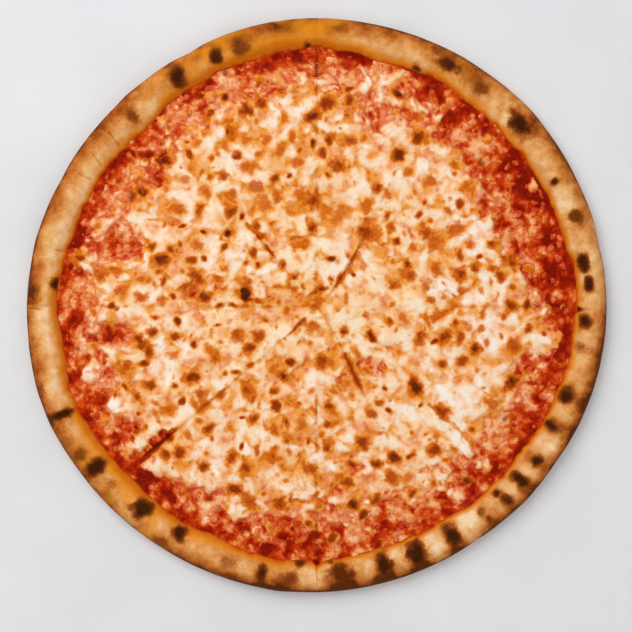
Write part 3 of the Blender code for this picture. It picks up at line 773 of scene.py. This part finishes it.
def sauce_surface(x, y):
    """Relief of the sauce in millimetres, and how pale it is from 0, deep red, to 1: granules over lumps
    over slow drifts."""
    slow = noise_at("sauce drifts", x, y)
    lumps = noise_at("sauce lumps", x, y)
    nearest, owner = cell_pattern(x + 0.6 * lumps, y + 0.6 * slow, SAUCE_GRANULE, GRANULE_SEED)
    grain = fade(nearest, 0.1, 0.75) * owner
    relief = 0.16 * slow + 0.16 * lumps + 0.20 * grain
    return relief, 0.24 + 0.42 * lumps - 0.30 * slow + 0.20 * grain


def open_sheet(x, y, top, low, fields):
    """Points, faces and fields of a sheet over a grid, with walls down to a low height all round: the
    outer columns and rows are repeated at that height."""
    x, y, height = (np.pad(values, 1, mode="edge") for values in (x, y, top))
    for edge in (np.s_[:, 0], np.s_[:, -1], np.s_[0], np.s_[-1]):
        height[edge] = low
    points = np.stack([x, y, height], axis=-1).reshape(-1, 3)
    padded = {name: np.pad(values, 1, mode="edge").ravel() for name, values in fields.items()}
    return points, grid_quads(*x.shape), padded


def sauce_slice(number, sizes, spots, shreds):
    """Sauce of one slice: a sheet over the dough's floor that climbs a little where it meets the rim."""
    share = slice_columns(number, SAUCE_COLUMNS_AT, sizes.sauce_grain)
    x, y = slice_point(number, sizes.mean_radius - sizes.rim_width, share)
    angle = np.arctan2(y, x)
    edge_inset = sauce_edge_inset(angle, sizes)
    edge = reach_from_cutting_centre(number, share, edge_inset, sizes)
    tip = slice_tip(number)
    rows = int(round((float(edge.mean()) - tip) / sizes.sauce_grain)) + 1
    radius = tip + (edge - tip) * np.linspace(0.0, 1.0, rows)[:, None]
    x, y = slice_point(number, radius, share, 0.5)
    relief, pale = sauce_surface(x, y)
    to_rim = edge - radius
    gap, opening = distance_to_cuts(number, radius, share)
    base = sizes.dough_thickness + LAYER_GAP + sizes.sauce_thickness
    climb = np.maximum(dough_top(edge_inset, angle, sizes) + 0.15 - base, 0.2)
    top = base + relief * (1.0 - 0.75 * bell(to_rim, 3.2)) + climb * bell(to_rim, 1.7)
    top = top - 0.5 * (bell(gap, 0.6) * opening)
    amount, _, _, cheese_fields = melted_cheese(x, y, spots, shreds)
    rim_shade = 0.24 * bell(to_rim, 8.0) * (1.0 - 0.7 * bell_at(np.arctan2(y, x), -52, 38))
    pale = pale + 0.34 * smooth_step(amount, -1.0, 0.15) - rim_shade
    pale = pale + 0.16 * np.clip(drift_at(x, y), -1.0, 1.0)
    # The last field darkens the sauce along an open cut as painted shade of the cut.
    fields = {
        "pale": np.clip(pale, 0.0, 1.0),
        "brown": np.clip(cheese_fields["brown"], 0.0, 1.0),
        "cut_painted_shade": bell(gap, 1.3) * np.sqrt(opening),
    }
    return open_sheet(x, y, top, sizes.dough_thickness - 0.2, fields)


def scattered_spots():
    """Seeded places, radii, darkness, stretch and turn of the browned spots, after the stated ones.
    Each cell of a square grid holds one, moved about inside it, unless another spot is close by or
    noise leaves it out."""
    maker = np.random.default_rng(SPOT_SEED)
    rows = [(*from_view(u, v), SPOT_GROWTH * radius * VIEW_UNIT, dark) for u, v, radius, dark in CHEESE_SPOTS]
    stretch = maker.uniform(1.0, 1.4, len(rows))
    turn = maker.uniform(0, 3.1, len(rows))
    spots = [np.column_stack([rows, stretch, turn])]
    for cell, low, high, dark_low, dark_high in RANDOM_SPOTS:
        line = np.arange(-SPOTTED_HALF_WIDTH, SPOTTED_HALF_WIDTH, cell)
        x, y = (grid.ravel() for grid in np.meshgrid(line, line))
        x = x + maker.uniform(0.0, cell, x.shape)
        y = y + maker.uniform(0.0, cell, y.shape)
        size = maker.uniform(0.0, 1.0, x.shape) ** 1.4
        dark = dark_low + (dark_high - dark_low) * maker.uniform(0.0, 1.0, x.shape) ** 1.3
        stretch = maker.uniform(1.0, 2.2, x.shape)
        turn = maker.uniform(0.0, math.pi, x.shape)
        made = np.column_stack([x, y, low + (high - low) * size, dark, stretch, turn])
        taken = np.vstack(spots)
        gap = np.hypot(x[:, None] - taken[None, :, 0], y[:, None] - taken[None, :, 1])
        clear = (gap > 1.5 * taken[None, :, 2] + 1.3).all(axis=1)
        group = 0.52 + 0.45 * noise_at("spot groups", x, y)
        spots.append(made[clear & (maker.uniform(0.0, 1.0, x.shape) < group)])
    return np.vstack(spots)


def scattered_shreds():
    """Seeded shreds of grated cheese: middle, half run in x and in y, half width and height in shares.
    They lie in all directions, so that the oil fills the gaps between them."""
    maker = np.random.default_rng(SHRED_SEED)
    radius = SHREDDED_RADIUS * np.sqrt(maker.uniform(0.0, 1.0, SHREDS))
    bearing = maker.uniform(0.0, 2.0 * math.pi, SHREDS)
    turn = maker.uniform(0.0, math.pi, SHREDS)
    half_run = maker.uniform(2.0, 7.0, SHREDS)
    half_width = maker.uniform(1.9, 3.6, SHREDS)
    height = maker.uniform(0.65, 1.0, SHREDS)
    return np.column_stack([
        radius * np.cos(bearing), radius * np.sin(bearing),
        half_run * np.cos(turn), half_run * np.sin(turn), half_width, height,
    ])


def spot_marks(x, y, spots):
    """How browned a place is, how oily round the spots and how far they puff up, in millimetres: ovals
    with ragged edges, of which the strongest one counts."""
    ragged = 0.46 * noise_at("spot edge", x, y)
    brown, halo, blister = (np.zeros(x.shape) for _ in range(3))
    for at_x, at_y, radius, dark, stretch, turn in spots:
        near = (np.abs(x - at_x) < 3.6 * radius) & (np.abs(y - at_y) < 3.6 * radius)
        if not near.any():
            continue
        half_sizes = (radius * stretch**0.5, radius / stretch**0.5)
        reach = oval_falloff(x[near], y[near], (at_x, at_y), half_sizes, turn) + ragged[near]
        brown[near] = np.maximum(brown[near], dark * fade(reach, 0.2, 1.6))
        halo[near] = np.maximum(halo[near], (0.40 + 0.60 * dark) * fade(reach, 0.6, 2.4))
        blister[near] = np.maximum(blister[near], min(radius, 2.5) * fade(reach, 0.0, 1.3))
    return brown, halo, blister


def shred_height(x, y, shreds):
    """Height of the grated shreds as a share from 0 to 1: bars with soft ragged sides, the highest
    counts."""
    ragged = 0.36 * noise_at("shred edge", x, y)
    height = np.zeros(x.shape)
    inside = (shreds[:, 0] > x.min() - SHRED_MARGIN) & (shreds[:, 0] < x.max() + SHRED_MARGIN)
    inside = inside & (shreds[:, 1] > y.min() - SHRED_MARGIN) & (shreds[:, 1] < y.max() + SHRED_MARGIN)
    for at_x, at_y, run_x, run_y, half_width, high in shreds[inside]:
        reach_x, reach_y = abs(run_x) + 2 * half_width, abs(run_y) + 2 * half_width
        near = (np.abs(x - at_x) < reach_x) & (np.abs(y - at_y) < reach_y)
        if not near.any():
            continue
        start, end = (at_x - run_x, at_y - run_y), (at_x + run_x, at_y + run_y)
        reach = bar_falloff(x[near], y[near], start, end, half_width) + ragged[near]
        height[near] = np.maximum(height[near], high * fade(reach, 0.15, 1.65))
    return height


def melted_cheese(x, y, spots, shreds):
    """Thickness of the cheese as an amount, from below 0 where there is none to about 1, how far it covers
    the sauce, its relief in millimetres and its fields. The amount falls off to the lobed edge, and
    drifts, shreds, islets, strands, grooves and noise add to it or take from it."""
    angle, radius = np.arctan2(y, x), np.hypot(x, y)
    slow = noise_at("cheese drifts", x, y)
    shift_x = x + 2.0 * noise_at("shift x", x, y)
    shift_y = y + 2.0 * noise_at("shift y", x, y)
    curds = noise_at("curds", shift_x, shift_y)
    crumbs = noise_at("crumbs", x, y)
    mottle = noise_at("mottle", shift_x, shift_y)
    shred = shred_height(shift_x, shift_y, shreds)
    nearest, owner = cell_pattern(x + 1.1 * crumbs, y + 1.1 * mottle, CHEESE_LUMP, LUMP_SEED)
    lump = fade(nearest, 0.05, 0.62) * smooth_step(owner, 0.15, 0.85)
    amount = np.clip((cheese_reach(angle) + 5.0 + 3.5 * curds - radius) / 34.0, -1.2, 0.62)
    drift = drift_at(x, y)
    amount = amount + 0.75 * drift + 0.16 * slow + 0.14 * curds + 0.12 * crumbs + 0.45 * (shred - 0.45)
    for u, v, size in CHEESE_ISLETS:
        reach = oval_falloff(x, y, from_view(u, v), (size * VIEW_UNIT, size * VIEW_UNIT))
        reach = reach + 0.5 * crumbs + 0.4 * mottle
        amount = np.maximum(amount, 0.62 * fade(reach, 0.3, 1.9) - 0.15)
    strand = bars_at(CHEESE_STRANDS, x, y, 0.25 * crumbs, 0.5, 1.2)
    groove = bars_at(CHEESE_GROOVES, x, y, 0.4 * crumbs, 0.2, 1.5)
    amount = amount + 0.9 * strand - 0.5 * groove
    thin = fade(amount, 0.0, 0.6)
    amount = amount + 0.34 * thin * (lump - 0.22)

    brown, halo, blister = spot_marks(x, y, spots)
    cover = smooth_step(amount, -0.20, 0.75)
    gaps = np.clip(1.0 - 1.5 * shred - 0.22 * curds - 0.8 * strand, 0.0, 1.0)
    warm = smooth_step(noise_at("warmth", x, y), -0.75, 0.75)
    relief = 0.22 * shred + 0.07 * crumbs + 0.06 * mottle + 0.10 * lump * thin
    relief = relief + 0.14 * blister + 0.7 * strand - 0.8 * groove
    cream = cover * (0.50 + 0.30 * shred) + 0.30 * strand + 0.22 * mottle + 0.08 * curds + 0.06 * crumbs
    blush = smooth_step(noise_at("blush", x, y), 0.10, 0.85)
    golden_middle = bell(radius, 58.0)
    cream = cream + 0.08 * slow - 0.10 * warm + 0.20 * lump * thin - 0.24 * blush + 0.05 * golden_middle
    cream = cream + 0.26 * np.clip(drift, -1.0, 1.0)
    under = 0.95 * (sauce_surface(x, y)[1] + 0.36 * smooth_step(amount, -1.0, 0.15) - 0.45)
    cream = under + (cream - under) * smooth_step(cover, 0.02, 0.50)
    thick = np.clip(drift, 0.0, 1.0)
    pools = 0.55 * smooth_step(-mottle - 0.3 * slow, 0.30, 0.95) * (1.0 - 0.6 * thick)
    held = smooth_step(cover, 0.10, 0.60) * (1.0 - 0.5 * thick)
    oil = held * (gaps * (0.15 + 0.7 * warm) + pools + 0.9 * halo) + 1.2 * groove
    fields = {
        "cream": np.clip(cream, 0.0, 1.0),
        "brown": np.clip(brown, 0.0, 1.4),
        "oil": np.clip(oil, 0.0, 1.2),
        "gold": np.clip(0.45 + 0.7 * golden_middle + 0.55 * noise_at("gold", x, y), 0.0, 1.5),
    }
    return amount, cover, relief, fields


def cheese_slice(number, sizes, spots, shreds):
    """Cheese of one slice: a sheet that dips under the sauce where the cheese ends, so that its edges
    and its holes are where the two surfaces cross. Faces that lie well below the sauce are left out."""
    share = slice_columns(number, CHEESE_COLUMNS_AT, sizes.cheese_grain)
    tip = slice_tip(number)
    even = np.linspace(0.0, 1.0, int(round((CHEESE_END - tip) / sizes.cheese_grain)) + 1)
    radius = (tip + (CHEESE_END - tip) * even)[:, None]
    x, y = slice_point(number, radius, share)
    radius = radius + 0.0 * share
    amount, cover, relief, fields = melted_cheese(x, y, spots, shreds)
    gap, opening = distance_to_cuts(number, radius, share)
    spread = 1.0 + 0.45 * noise_at("cut spread", x, y)
    parting = opening**0.7 * smooth_step(noise_at("cut parting", x, y), -0.8, 0.3)
    lip = bell(gap, 0.85 * spread) * parting
    sauce_top = sizes.dough_thickness + LAYER_GAP + sizes.sauce_thickness
    thickness = (sizes.cheese_thickness + LAYER_GAP) * cover**1.1
    sunk = 0.9 * smooth_step(-amount, 0.02, 0.26)
    rise = (relief + cheese_swell(x, y) - 0.25) * cover**0.6
    top = sauce_top + 0.05 + thickness + rise - sunk - 0.40 * lip
    # The lip's field darkens the cheese along the cut as painted shade of the cut.
    fields["cut_painted_shade"] = lip
    fields["oil"] = np.clip(fields["oil"] + bell(gap, 1.6 * spread) * parting, 0.0, 1.2)
    points, faces, values = open_sheet(x, y, top, sauce_top - 0.6, fields)
    buried = np.pad(amount < -0.30, 1, mode="edge").ravel()
    return points, faces[~buried[faces].all(axis=1)], values


def paint(red, green, blue):
    """Linear colour of a screen colour given from 0 to 255: ((c + 0.055) / 1.055)^2.4 above the toe."""
    screen = [level / 255.0 for level in (red, green, blue)]
    linear = [c / 12.92 if c <= 0.04045 else ((c + 0.055) / 1.055) ** 2.4 for c in screen]
    return (*linear, 1.0)


def colour(value):
    """A colour setting as four plain numbers."""
    return (*value[:3], 1.0)


class ShaderBoard:
    """Adds nodes to one material and joins them, so that a finish reads from top to bottom."""

    def __init__(self, name, roughness, preview):
        self.material = bpy.data.materials.new(name)
        self.material.use_nodes = True
        self.material.diffuse_color = preview
        self.tree = self.material.node_tree
        self.shader = self.tree.nodes["Principled BSDF"]
        self.shader.inputs["Roughness"].default_value = roughness
        self.place = self.add("ShaderNodeTexCoord").outputs["Object"]

    def add(self, kind, **settings):
        node = self.tree.nodes.new(kind)
        for name, value in settings.items():
            setattr(node, name, value)
        return node

    def feed(self, node, inputs):
        """Joins each of these inputs of a node to a socket, or sets it to a plain value."""
        for name, value in inputs.items():
            if isinstance(value, bpy.types.NodeSocket):
                self.tree.links.new(value, node.inputs[name])
            else:
                node.inputs[name].default_value = value

    def field(self, name):
        return self.add("ShaderNodeAttribute", attribute_name=name).outputs["Fac"]

    def math(self, operation, first, second):
        node = self.add("ShaderNodeMath", operation=operation)
        self.feed(node, {0: first, 1: second})
        return node.outputs[0]

    def times(self, first, second):
        return self.math("MULTIPLY", first, second)

    def stir(self, value, pattern, amount):
        """Value moved up and down with a pattern, by the amount times the pattern's distance from a half."""
        return self.math("ADD", value, self.times(self.math("SUBTRACT", pattern, 0.5), amount))

    def span(self, value, low, high, to_low=0.0, to_high=1.0):
        """Carries one range of values to another and stops at its ends."""
        node = self.add("ShaderNodeMapRange", interpolation_type="SMOOTHSTEP")
        ends = {"From Min": low, "From Max": high, "To Min": to_low, "To Max": to_high}
        self.feed(node, {"Value": value, **ends})
        return node.outputs[0]

    def mix(self, share, first, second, blend="MIX"):
        node = self.add("ShaderNodeMix", data_type="RGBA", blend_type=blend)
        self.feed(node, {0: share, 6: first, 7: second})
        return node.outputs[2]

    def coat(self, base, mask, low, high, most, tint, blend="MIX"):
        """Base with a tint laid over it as the mask rises from low to high, up to the most stated."""
        return self.mix(self.span(mask, low, high, 0.0, most), base, tint, blend)

    def noise(self, size, detail=3.0, roughness=0.55):
        """Noise from 0 to 1 whose lumps are about this many millimetres across."""
        node = self.add("ShaderNodeTexNoise")
        scale = 1.0 / (size * MM)
        self.feed(node, {"Vector": self.place, "Scale": scale, "Detail": detail, "Roughness": roughness})
        return node.outputs["Fac"]

    def cells(self, size):
        """Distance to the nearest of points scattered this many millimetres apart, in cell sizes."""
        node = self.add("ShaderNodeTexVoronoi")
        self.feed(node, {"Vector": self.place, "Scale": 1.0 / (size * MM)})
        return node.outputs["Distance"]

    def ramp(self, share, *stops):
        """Colours at places from 0 to 1, blended between them."""
        node = self.add("ShaderNodeValToRGB")
        while len(node.color_ramp.elements) < len(stops):
            node.color_ramp.elements.new(0.5)
        for element, (position, tint) in zip(node.color_ramp.elements, stops):
            element.position = position
            element.color = tint
        self.feed(node, {0: share})
        return node.outputs["Color"]

    def bumps(self, *layers):
        """Bumps laid one over another: a height, its depth in millimetres and its strength each."""
        normal = None
        for height, depth, strength in layers:
            node = self.add("ShaderNodeBump")
            self.feed(node, {"Strength": strength, "Distance": depth * MM, "Height": height})
            if normal is not None:
                self.feed(node, {"Normal": normal})
            normal = node.outputs["Normal"]
        return normal

    def finished(self, base, roughness, normal, **settings):
        """The material, with its colour, roughness and bumps joined to the shader. Settings are plain
        values of the shader's own inputs, their names written with underscores."""
        self.feed(self.shader, {"Base Color": base, "Roughness": roughness, "Normal": normal})
        self.feed(self.shader, {name.replace("_", " "): value for name, value in settings.items()})
        return self.material


def dough_finish(colours):
    """Baked dough: cream to golden brown by the browning field, which holds painted shade too, with oil,
    stains, char, pores and crumb, and painted shade along the cuts.
    """
    board = ShaderBoard("Baked dough", 0.62, colour(colours.dough_golden))
    grain = board.noise(1.3, 3.0, 0.6)
    speck = board.noise(0.4, 2.0, 0.6)
    oil, char = board.field("oil"), board.stir(board.field("char"), grain, 0.35)
    # The ramp follows the rim's browning together with the painted shade that it holds.
    base = board.ramp(
        board.stir(board.stir(board.field("toast_and_shade"), grain, 0.36), board.noise(6.0, 3.0, 0.55), 0.50),
        (0.0, colour(colours.dough_cream)),
        (0.28, paint(234, 172, 106)),
        (0.52, colour(colours.dough_golden)),
        (0.78, paint(170, 82, 20)),
        (1.0, colour(colours.dough_brown)),
    )
    leopard = board.span(board.noise(9.0, 4.0, 0.6), 0.50, 0.68)
    underside = board.mix(leopard, paint(206, 150, 92), paint(112, 62, 28))
    base = board.mix(board.field("baked_base"), base, underside)
    base = board.mix(board.times(board.span(speck, 0.56, 0.72), 0.30), base, paint(150, 86, 36))
    base = board.coat(base, oil, 0.0, 0.70, 0.80, paint(234, 142, 24))
    base = board.coat(base, oil, 0.55, 1.0, 0.80, paint(218, 112, 4))
    base = board.mix(board.times(board.field("stain"), 0.85), base, paint(190, 58, 8))
    base = board.coat(base, char, 0.05, 0.50, 1.0, paint(156, 80, 24), "DARKEN")
    base = board.coat(base, char, 0.34, 0.76, 1.0, paint(108, 46, 10), "DARKEN")
    base = board.coat(base, char, 0.62, 1.05, 1.0, colour(colours.char_dark), "DARKEN")
    crumb = board.mix(board.span(board.noise(1.6), 0.45, 0.7), paint(247, 228, 190), paint(222, 184, 130))
    base = board.mix(board.field("crumb"), base, crumb)
    # Painted shade of the cuts, multiplied over the colour.
    base = board.mix(board.times(board.field("cut_painted_shade"), 0.5), base, (0.60, 0.34, 0.14, 1.0), "MULTIPLY")
    rough = board.math("SUBTRACT", 0.70, board.times(oil, 0.30))
    return board.finished(
        base, board.math("ADD", rough, board.times(grain, 0.12)),
        board.bumps((board.noise(1.1, 3.0, 0.65), 0.08, 1.0), (speck, 0.03, 0.8)),
        Specular_IOR_Level=0.12, Specular_Tint=(1.0, 0.66, 0.30, 1.0),
    )


def sauce_finish(colours):
    """Cooked tomato: deep red to salmon by the pale field, with browned spots, wet and granular."""
    board = ShaderBoard("Tomato sauce", 0.3, colour(colours.sauce_red))
    grain = board.noise(1.0, 3.0, 0.6)
    fleck = board.noise(2.4, 3.0, 0.6)
    base = board.ramp(
        board.stir(board.stir(board.field("pale"), fleck, 0.70), grain, 0.45),
        (0.0, paint(122, 8, 0)),
        (0.22, colour(colours.sauce_deep)),
        (0.42, colour(colours.sauce_red)),
        (0.60, paint(212, 84, 20)),
        (0.78, colour(colours.pulp_salmon)),
        (1.0, paint(246, 180, 126)),
    )
    base = board.coat(base, board.field("brown"), 0.2, 0.9, 0.80, paint(124, 18, 0))
    # Painted shade of the cuts, multiplied over the colour.
    base = board.mix(board.field("cut_painted_shade"), base, (0.36, 0.05, 0.03, 1.0), "MULTIPLY")
    return board.finished(
        base, board.span(grain, 0.3, 0.7, 0.26, 0.46),
        board.bumps((fleck, 0.30, 1.0), (grain, 0.16, 1.0)),
        Specular_IOR_Level=0.16, Specular_Tint=(1.0, 0.45, 0.20, 1.0),
    )


def cheese_finish(colours):
    """Melted cheese: salmon where thin to cream where thick, with orange oil and browned spots."""
    board = ShaderBoard("Melted cheese", 0.42, colour(colours.cheese_cream))
    grain = board.noise(0.9, 3.0, 0.6)
    mottle = board.noise(2.2, 3.0, 0.55)
    cream = board.stir(board.stir(board.field("cream"), mottle, 0.55), grain, 0.28)
    oil = board.stir(board.stir(board.field("oil"), mottle, 1.1), grain, 0.5)
    brown = board.stir(board.field("brown"), grain, 0.40)
    base = board.ramp(
        cream,
        (0.0, paint(202, 60, 24)),
        (0.18, paint(222, 108, 60)),
        (0.36, colour(colours.cheese_salmon)),
        (0.56, colour(colours.cheese_peach)),
        (0.80, colour(colours.cheese_cream)),
        (1.0, paint(255, 246, 240)),
    )
    gilt = board.times(board.field("gold"), board.span(cream, 0.3, 0.9))
    base = board.mix(board.times(gilt, 0.38), base, paint(254, 208, 132))
    base = board.coat(base, oil, 0.05, 0.75, 0.85, paint(245, 162, 54))
    base = board.coat(base, oil, 0.50, 1.20, 0.92, colour(colours.oil_orange))
    base = board.coat(base, brown, 0.05, 0.45, 0.88, paint(216, 100, 8))
    base = board.coat(base, brown, 0.36, 0.78, 1.0, colour(colours.spot_brown))
    base = board.coat(base, brown, 0.72, 1.10, 1.0, colour(colours.spot_dark))
    fleck = board.math("LESS_THAN", board.cells(2.5), 0.12)
    base = board.mix(board.times(fleck, 0.5), base, paint(140, 104, 60))
    # Painted shade of the cuts, multiplied over the colour.
    base = board.mix(board.field("cut_painted_shade"), base, (0.56, 0.23, 0.05, 1.0), "MULTIPLY")
    oily = board.times(board.field("oil"), 0.12)
    return board.finished(
        base, board.math("SUBTRACT", board.span(grain, 0.3, 0.7, 0.40, 0.56), oily),
        board.bumps((mottle, 0.30, 1.0), (grain, 0.08, 1.0)),
        Subsurface_Weight=0.10, Subsurface_Radius=(1.0, 0.45, 0.2), Subsurface_Scale=0.0015,
        Specular_IOR_Level=0.20, Specular_Tint=(1.0, 0.62, 0.28, 1.0),
    )


def length_setting(name, description, default):
    """A size property with this default in metres."""
    return bpy.props.FloatProperty(name=name, description=description, default=default, unit="LENGTH")


def colour_setting(name, description, default):
    """A colour property with this default."""
    return bpy.props.FloatVectorProperty(
        name=name, description=description, subtype="COLOR", size=3, min=0.0, max=1.0, default=default[:3])


class PizzaSizes(bpy.types.PropertyGroup):
    """Sizes of the pizza and of the grids that it is drawn on."""

    mean_radius: length_setting("Mean radius", "From the middle to the outside of the rim", 0.1495)
    rim_width: length_setting("Rim width", "From the outside of the rim to its inner foot", 0.0206)
    rim_height: length_setting("Rim height", "Usual height of the rim's crest", 0.013)
    dough_thickness: length_setting("Dough thickness", "Thickness of the dough under the sauce", 0.0046)
    sauce_thickness: length_setting("Sauce thickness", "Mean thickness of the sauce", 0.0013)
    cheese_thickness: length_setting("Cheese thickness", "Thickness of the cheese at its fullest", 0.0019)
    crust_grain: length_setting("Crust grain", "Spacing of the points on the rim", 0.00055)
    sauce_grain: length_setting("Sauce grain", "Spacing of the points on the sauce", 0.00085)
    cheese_grain: length_setting("Cheese grain", "Spacing of the points on the cheese", 0.0005)


class PizzaColours(bpy.types.PropertyGroup):
    """Colours of the dough, the sauce and the cheese."""

    dough_cream: colour_setting("Dough cream", "Palest dough, on the crest", paint(250, 214, 168))
    dough_golden: colour_setting("Dough golden", "Dough baked golden", paint(210, 130, 60))
    dough_brown: colour_setting("Dough brown", "Dough at the outer edge", paint(92, 40, 8))
    char_dark: colour_setting("Char", "Middle of the charred spots", paint(56, 22, 3))
    sauce_red: colour_setting("Sauce red", "Sauce of usual depth", paint(188, 46, 4))
    sauce_deep: colour_setting("Sauce deep", "Sauce where it is deepest", paint(157, 22, 0))
    pulp_salmon: colour_setting("Pulp", "Pale pulp in the sauce", paint(232, 132, 74))
    cheese_cream: colour_setting("Cheese cream", "Cheese where it is thick", paint(255, 226, 202))
    cheese_peach: colour_setting("Cheese peach", "Cheese of middling thickness", paint(250, 189, 138))
    cheese_salmon: colour_setting("Cheese salmon", "Cheese where it is thin", paint(236, 144, 96))
    oil_orange: colour_setting("Oil", "Orange oil on the cheese and the rim", paint(208, 94, 3))
    spot_brown: colour_setting("Browned spot", "Browned cheese", paint(158, 56, 1))
    spot_dark: colour_setting("Dark spot", "Darkest browned cheese", paint(70, 18, 0))


def make_layer(context, name, slot, finish, make_slice, *given):
    """Makes one layer of every slice: a finish, and a piece for each slice that stands in for that layer's
    part, which is hidden.
    """
    sizes = in_mm(context.scene.pizza_sizes)
    material = finish(context.scene.pizza_colours)
    for number in range(1, SLICES + 1):
        points, faces, fields = make_slice(number, sizes, *given)
        make_piece(f"{name}_slice_{number}", points, faces, fields, material, f"{slot}_{number}")
    return {"FINISHED"}


class PIZZA_OT_crust(bpy.types.Operator):
    """Makes the dough of every slice, with its puffed and charred rim"""

    bl_idname = "pizza.crust"
    bl_label = "Crust"

    def execute(self, context):
        return make_layer(context, "dough", "crust", dough_finish, crust_slice)


class PIZZA_OT_sauce(bpy.types.Operator):
    """Spreads the tomato sauce on every slice"""

    bl_idname = "pizza.sauce"
    bl_label = "Sauce"

    def execute(self, context):
        marks = scattered_spots(), scattered_shreds()
        return make_layer(context, "tomato", "sauce", sauce_finish, sauce_slice, *marks)


class PIZZA_OT_cheese(bpy.types.Operator):
    """Melts the cheese over every slice, with its strands, oil and browned spots"""

    bl_idname = "pizza.cheese"
    bl_label = "Cheese"

    def execute(self, context):
        marks = scattered_spots(), scattered_shreds()
        return make_layer(context, "melted", "cheese", cheese_finish, cheese_slice, *marks)


def soft_light(name, place, aim, size, power):
    """A square area light at a place, turned towards an aim."""
    light = bpy.data.lights.new(name, "AREA")
    light.size = size
    light.energy = power
    lamp = bpy.data.objects.new(name, light)
    lamp.location = place
    away = [a - b for a, b in zip(place, aim)]
    flat = math.hypot(away[0], away[1])
    lamp.rotation_euler = (math.atan2(flat, away[2]), 0.0, math.atan2(away[1], away[0]) + math.pi / 2)
    bpy.context.scene.collection.objects.link(lamp)


class PIZZA_OT_stage(bpy.types.Operator):
    """Sets a pale floor, soft studio light from the upper left and a camera that looks straight down"""

    bl_idname = "pizza.stage"
    bl_label = "Stage"

    def execute(self, context):
        scene = context.scene
        plane = bpy.data.meshes.new("floor")
        far = FLOOR_HALF_SIZE
        corners = [(-far, -far, 0), (far, -far, 0), (far, far, 0), (-far, far, 0)]
        plane.from_pydata(corners, [], [(0, 1, 2, 3)])
        floor = bpy.data.objects.new("floor", plane)
        board = ShaderBoard("Pale floor", 0.7, (0.7, 0.7, 0.7, 1.0))
        grey = board.ramp(board.noise(60.0), (0.3, paint(226, 226, 227)), (0.7, paint(232, 232, 233)))
        board.feed(board.shader, {"Base Color": grey})
        plane.materials.append(board.material)
        scene.collection.objects.link(floor)

        soft_light("key", (-0.55, 0.62, 1.2), (0, 0, 0), 1.0, 13.1)
        soft_light("fill", (0.7, -0.6, 1.1), (0, 0, 0), 1.3, 4.0)
        world = bpy.data.worlds.new("studio")
        world.use_nodes = True
        backdrop = world.node_tree.nodes["Background"]
        backdrop.inputs["Color"].default_value = (0.95, 0.97, 1.0, 1.0)
        backdrop.inputs["Strength"].default_value = 0.42
        scene.world = world
        scene.view_settings.view_transform = "Standard"

        lens = bpy.data.cameras.new("view from above")
        lens.lens = 100.0
        lens.sensor_width = 36.0
        camera = bpy.data.objects.new("view from above", lens)
        framed = VIEW_SIDE * VIEW_UNIT * MM
        x, y = from_view(VIEW_SIDE / 2, VIEW_SIDE / 2)
        camera.location = (x * MM, y * MM, framed * lens.lens / lens.sensor_width + FRAMED_HEIGHT)
        scene.collection.objects.link(camera)
        scene.camera = camera
        return {"FINISHED"}


STEPS = (PIZZA_OT_crust, PIZZA_OT_sauce, PIZZA_OT_cheese, PIZZA_OT_stage)


class PIZZA_PT_panel(bpy.types.Panel):
    """Lists the pizza's sizes, colours and steps"""

    bl_idname = "PIZZA_PT_panel"
    bl_label = "Pizza"
    bl_space_type = "VIEW_3D"
    bl_region_type = "UI"
    bl_category = "Pizza"

    def draw(self, context):
        for settings in (context.scene.pizza_sizes, context.scene.pizza_colours):
            box = self.layout.box()
            for name in settings.__annotations__:
                box.prop(settings, name)
        for step in STEPS:
            self.layout.operator(step.bl_idname)


CLASSES = (PizzaSizes, PizzaColours, *STEPS, PIZZA_PT_panel)


def register():
    for each in CLASSES:
        bpy.utils.register_class(each)
    bpy.types.Scene.pizza_sizes = bpy.props.PointerProperty(type=PizzaSizes)
    bpy.types.Scene.pizza_colours = bpy.props.PointerProperty(type=PizzaColours)


def unregister():
    del bpy.types.Scene.pizza_sizes
    del bpy.types.Scene.pizza_colours
    for each in reversed(CLASSES):
        bpy.utils.unregister_class(each)


def main():
    register()
    bpy.ops.pizza.crust()
    bpy.ops.pizza.sauce()
    bpy.ops.pizza.cheese()
    bpy.ops.pizza.stage()


if __name__ == "__main__":
    main()
